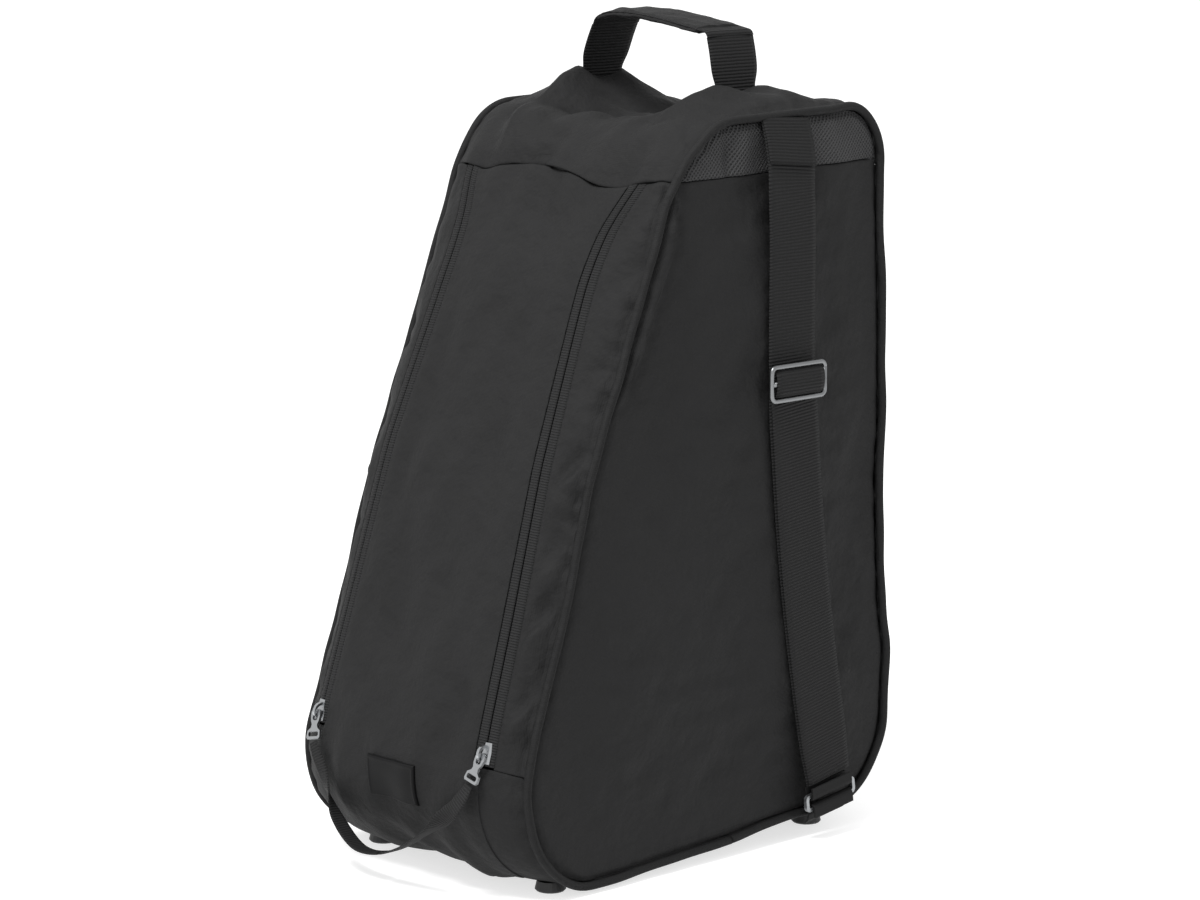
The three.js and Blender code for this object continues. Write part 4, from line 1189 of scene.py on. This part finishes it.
def add_shoulder_strap():
    points = [(95.2, STRAP_Y + 2.5, 428), (99.6, STRAP_Y + 1.5, 416), (103.6, STRAP_Y, 402)]
    points += [(STRAP_X, STRAP_Y - 1.0, 388)]
    points += [(STRAP_X, STRAP_Y, z) for z in (360, 330, 300)]
    points += [on_lower_run(z) for z in (260, 240, 200, 160, 120, 80, 50, 37)]
    path = spline(points, 3.0)
    nodes = ("strap_upper_run", "strap_lower_run")
    webbing_run("shoulder_strap", path, narrowed_at_foot(path, 36), 1.5, nodes)
    points = [(96.2, STRAP_Y + 2.5, 428.6), (101.1, STRAP_Y + 1.5, 416), (105.3, STRAP_Y, 402.5)]
    webbing_run("strap_top_layer", spline(points, 2.0), STRAP_WIDTH - 0.6, 1.3, ("strap_top_tab",))


def add_return_run():
    """The doubled webbing behind the strap, from the tri-glide down to the strap's foot."""
    heights = (RETURN_TOP_Z, 200, 150, 100, 60, STRAP_FOOT_Z)
    path = spline([on_lower_run(z, RETURN_OUT) for z in heights], 3.0)
    run = webbing_run(
        "strap_return", path, narrowed_at_foot(path, STRAP_FOOT_Z), 1.4, ("strap_return_run",),
        across=(0, 1.0, 0.14),
    )
    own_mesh(run)


def add_tri_glide():
    """A frame of rounded wire lying level on the strap, with a bar across its middle."""
    wide, tall, corner = 22.0, 9.75, 3.2
    corners = ((1, 1, 0), (-1, 1, 90), (-1, -1, 180), (1, -1, 270))
    path = []
    for side, end, start in corners:
        for angle in np.radians(np.linspace(start, start + 90, 7)):
            y = side * (wide - corner) + corner * math.cos(angle)
            z = end * (tall - corner) + corner * math.sin(angle)
            path.append((STRAP_X + GLIDE_OUT, STRAP_Y + y, GLIDE_Z + z))
    path.append(path[0])
    sweep(
        "glide_frame", path, (1.0, 0, 0), round_section(GLIDE_WIRE, 14), "buckle",
        body="tri_glide", replaces=("tri_glide",),
    )
    bar = [(STRAP_X + GLIDE_OUT, STRAP_Y + y, GLIDE_Z) for y in (-wide, 0, wide)]
    sweep("glide_bar", bar, (1.0, 0, 0), round_section(GLIDE_WIRE, 14), "buckle", body="tri_glide")


def add_bar_wrap():
    """The webbing comes up through the tri-glide, over its middle bar and back down."""
    half_arch = [(2.2, 7.6), (5.6, 6.9), (7.4, 5.2), (7.0, 3.2)]
    arch = [(-rise, out) for rise, out in half_arch[::-1]] + half_arch
    path = spline([(STRAP_X + out, STRAP_Y, GLIDE_Z + rise) for rise, out in arch], 0.8)
    webbing_run("strap_over_bar", path, STRAP_WIDTH + 1.6, 1.4, ("strap_bar_wrap",), "tri_glide")


# ---- the carrying handle ----


def add_handle_leg(side, sign):
    """A leg of webbing that leans inwards and narrows a little above its foot."""
    bend_x, bend_z = HANDLE_BENDS[side]
    foot_x, foot_z = HANDLE_FEET[side]
    tall = bend_z - foot_z
    points = []
    for share, out in ((0.0, 0.0), (0.25, 0.6), (0.5, 1.0), (0.75, 0.8), (1.0, 0.0)):
        points.append((foot_x + (bend_x - foot_x) * share + sign * out, HANDLE_Y, foot_z + tall * share))
    path = spline(points, 1.5)
    climb = run_lengths(path) / run_lengths(path)[-1]
    width = HANDLE_WIDTH - 5.5 * bell(climb - 0.14, 0.2)
    leg = webbing_run(f"handle_leg_webbing_{side}", path, width, 1.6, (f"handle_leg_{side}",), cup=0.5)
    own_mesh(leg)


def add_handle_flange(side, sign):
    """The end of the webbing, sewn flat along the top between the leg's foot and the piping."""
    foot_x, foot_z = HANDLE_FEET[side]
    reach = HALF_WIDTH - 2 - abs(foot_x)
    fall = foot_z - HANDLE_FLANGE_Z
    profile = ((1.0, 0.0), (0.77, 0.2), (0.48, 0.58), (0.22, 0.88), (0.07, 1.03), (0.0, 1.25))
    points = [(foot_x + sign * reach * a, HANDLE_Y, HANDLE_FLANGE_Z + fall * b) for a, b in profile]
    nodes = (f"handle_anchor_{side}",)
    webbing_run(f"handle_flange_{side}", spline(points, 1.5), HANDLE_WIDTH, 1.5, nodes)


def add_handle():
    for side, sign in SIDES:
        add_handle_flange(side, sign)
        add_handle_leg(side, sign)
    arch = [HANDLE_BENDS["left"], (-39.5, 479.8), (-34.5, 482.6), (-25.0, 484.2), (-8.0, 484.2)]
    arch += [(12.0, 482.2), (32.0, 479.2), (46.0, 476.9), (51.6, 475.6), HANDLE_BENDS["right"]]
    path = spline([(x, HANDLE_Y, z) for x, z in arch], 1.2)
    webbing_run("handle_grip_webbing", path, HANDLE_WIDTH, 1.6, ("handle_grip",), "handle")
    add_handle_sleeve(path[(path[:, 0] > -38.0) & (path[:, 0] < 45.0)])


def add_handle_sleeve(path):
    """A wrinkled tube of cloth round the grip."""
    steps = np.arange(len(path))
    widths = [HANDLE_WIDTH + 2.0 + 0.5 * math.sin(k * 1.3) for k in steps]
    sections = np.array([strap_section(w, 4.2, -1.2) for w in widths])
    wrinkles = 0.35 * ripple(sections[..., 0], steps[:, None] * 1.2, 11, 51)
    sections[..., 1] += wrinkles * np.sign(sections[..., 1])
    sag = np.sin(np.linspace(0, math.pi, len(path)))[:, None] * np.array([0, 0, -0.4])
    sweep(
        "handle_sleeve_cloth", path + sag, (0, 1.0, 0), sections, "nylon",
        body="handle", replaces=("handle_sleeve",),
    )


# ---- scene ----


def dress_cad_nodes():
    """CAD nodes whose shape is right keep it and get their finished material."""
    finishes = {
        "slider": "nickel",
        "pull": "nickel",
        "bottom_ring": "steel",
        "foot_screw": "steel",
        "foot": "plastic",
        "base_board": "plastic",
        "strap_foot_fold": "webbing",
        "ring_tab": "webbing",
    }
    for name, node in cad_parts.items():
        for start, material in finishes.items():
            if name.startswith(start) and name != "pull_tape":
                node.data.materials.clear()
                node.data.materials.append(MATERIALS[material])
                break


add_camera()
add_pull_tape()
add_studio()
dress_cad_nodes()
add_shell_panels()
add_bottom()
add_flap()
for side, sign in SIDES:
    add_side(side, sign)
    add_piping(side, sign)
    add_zip(side, sign)
add_label()
add_shoulder_strap()
add_return_run()
add_tri_glide()
add_bar_wrap()
add_handle()
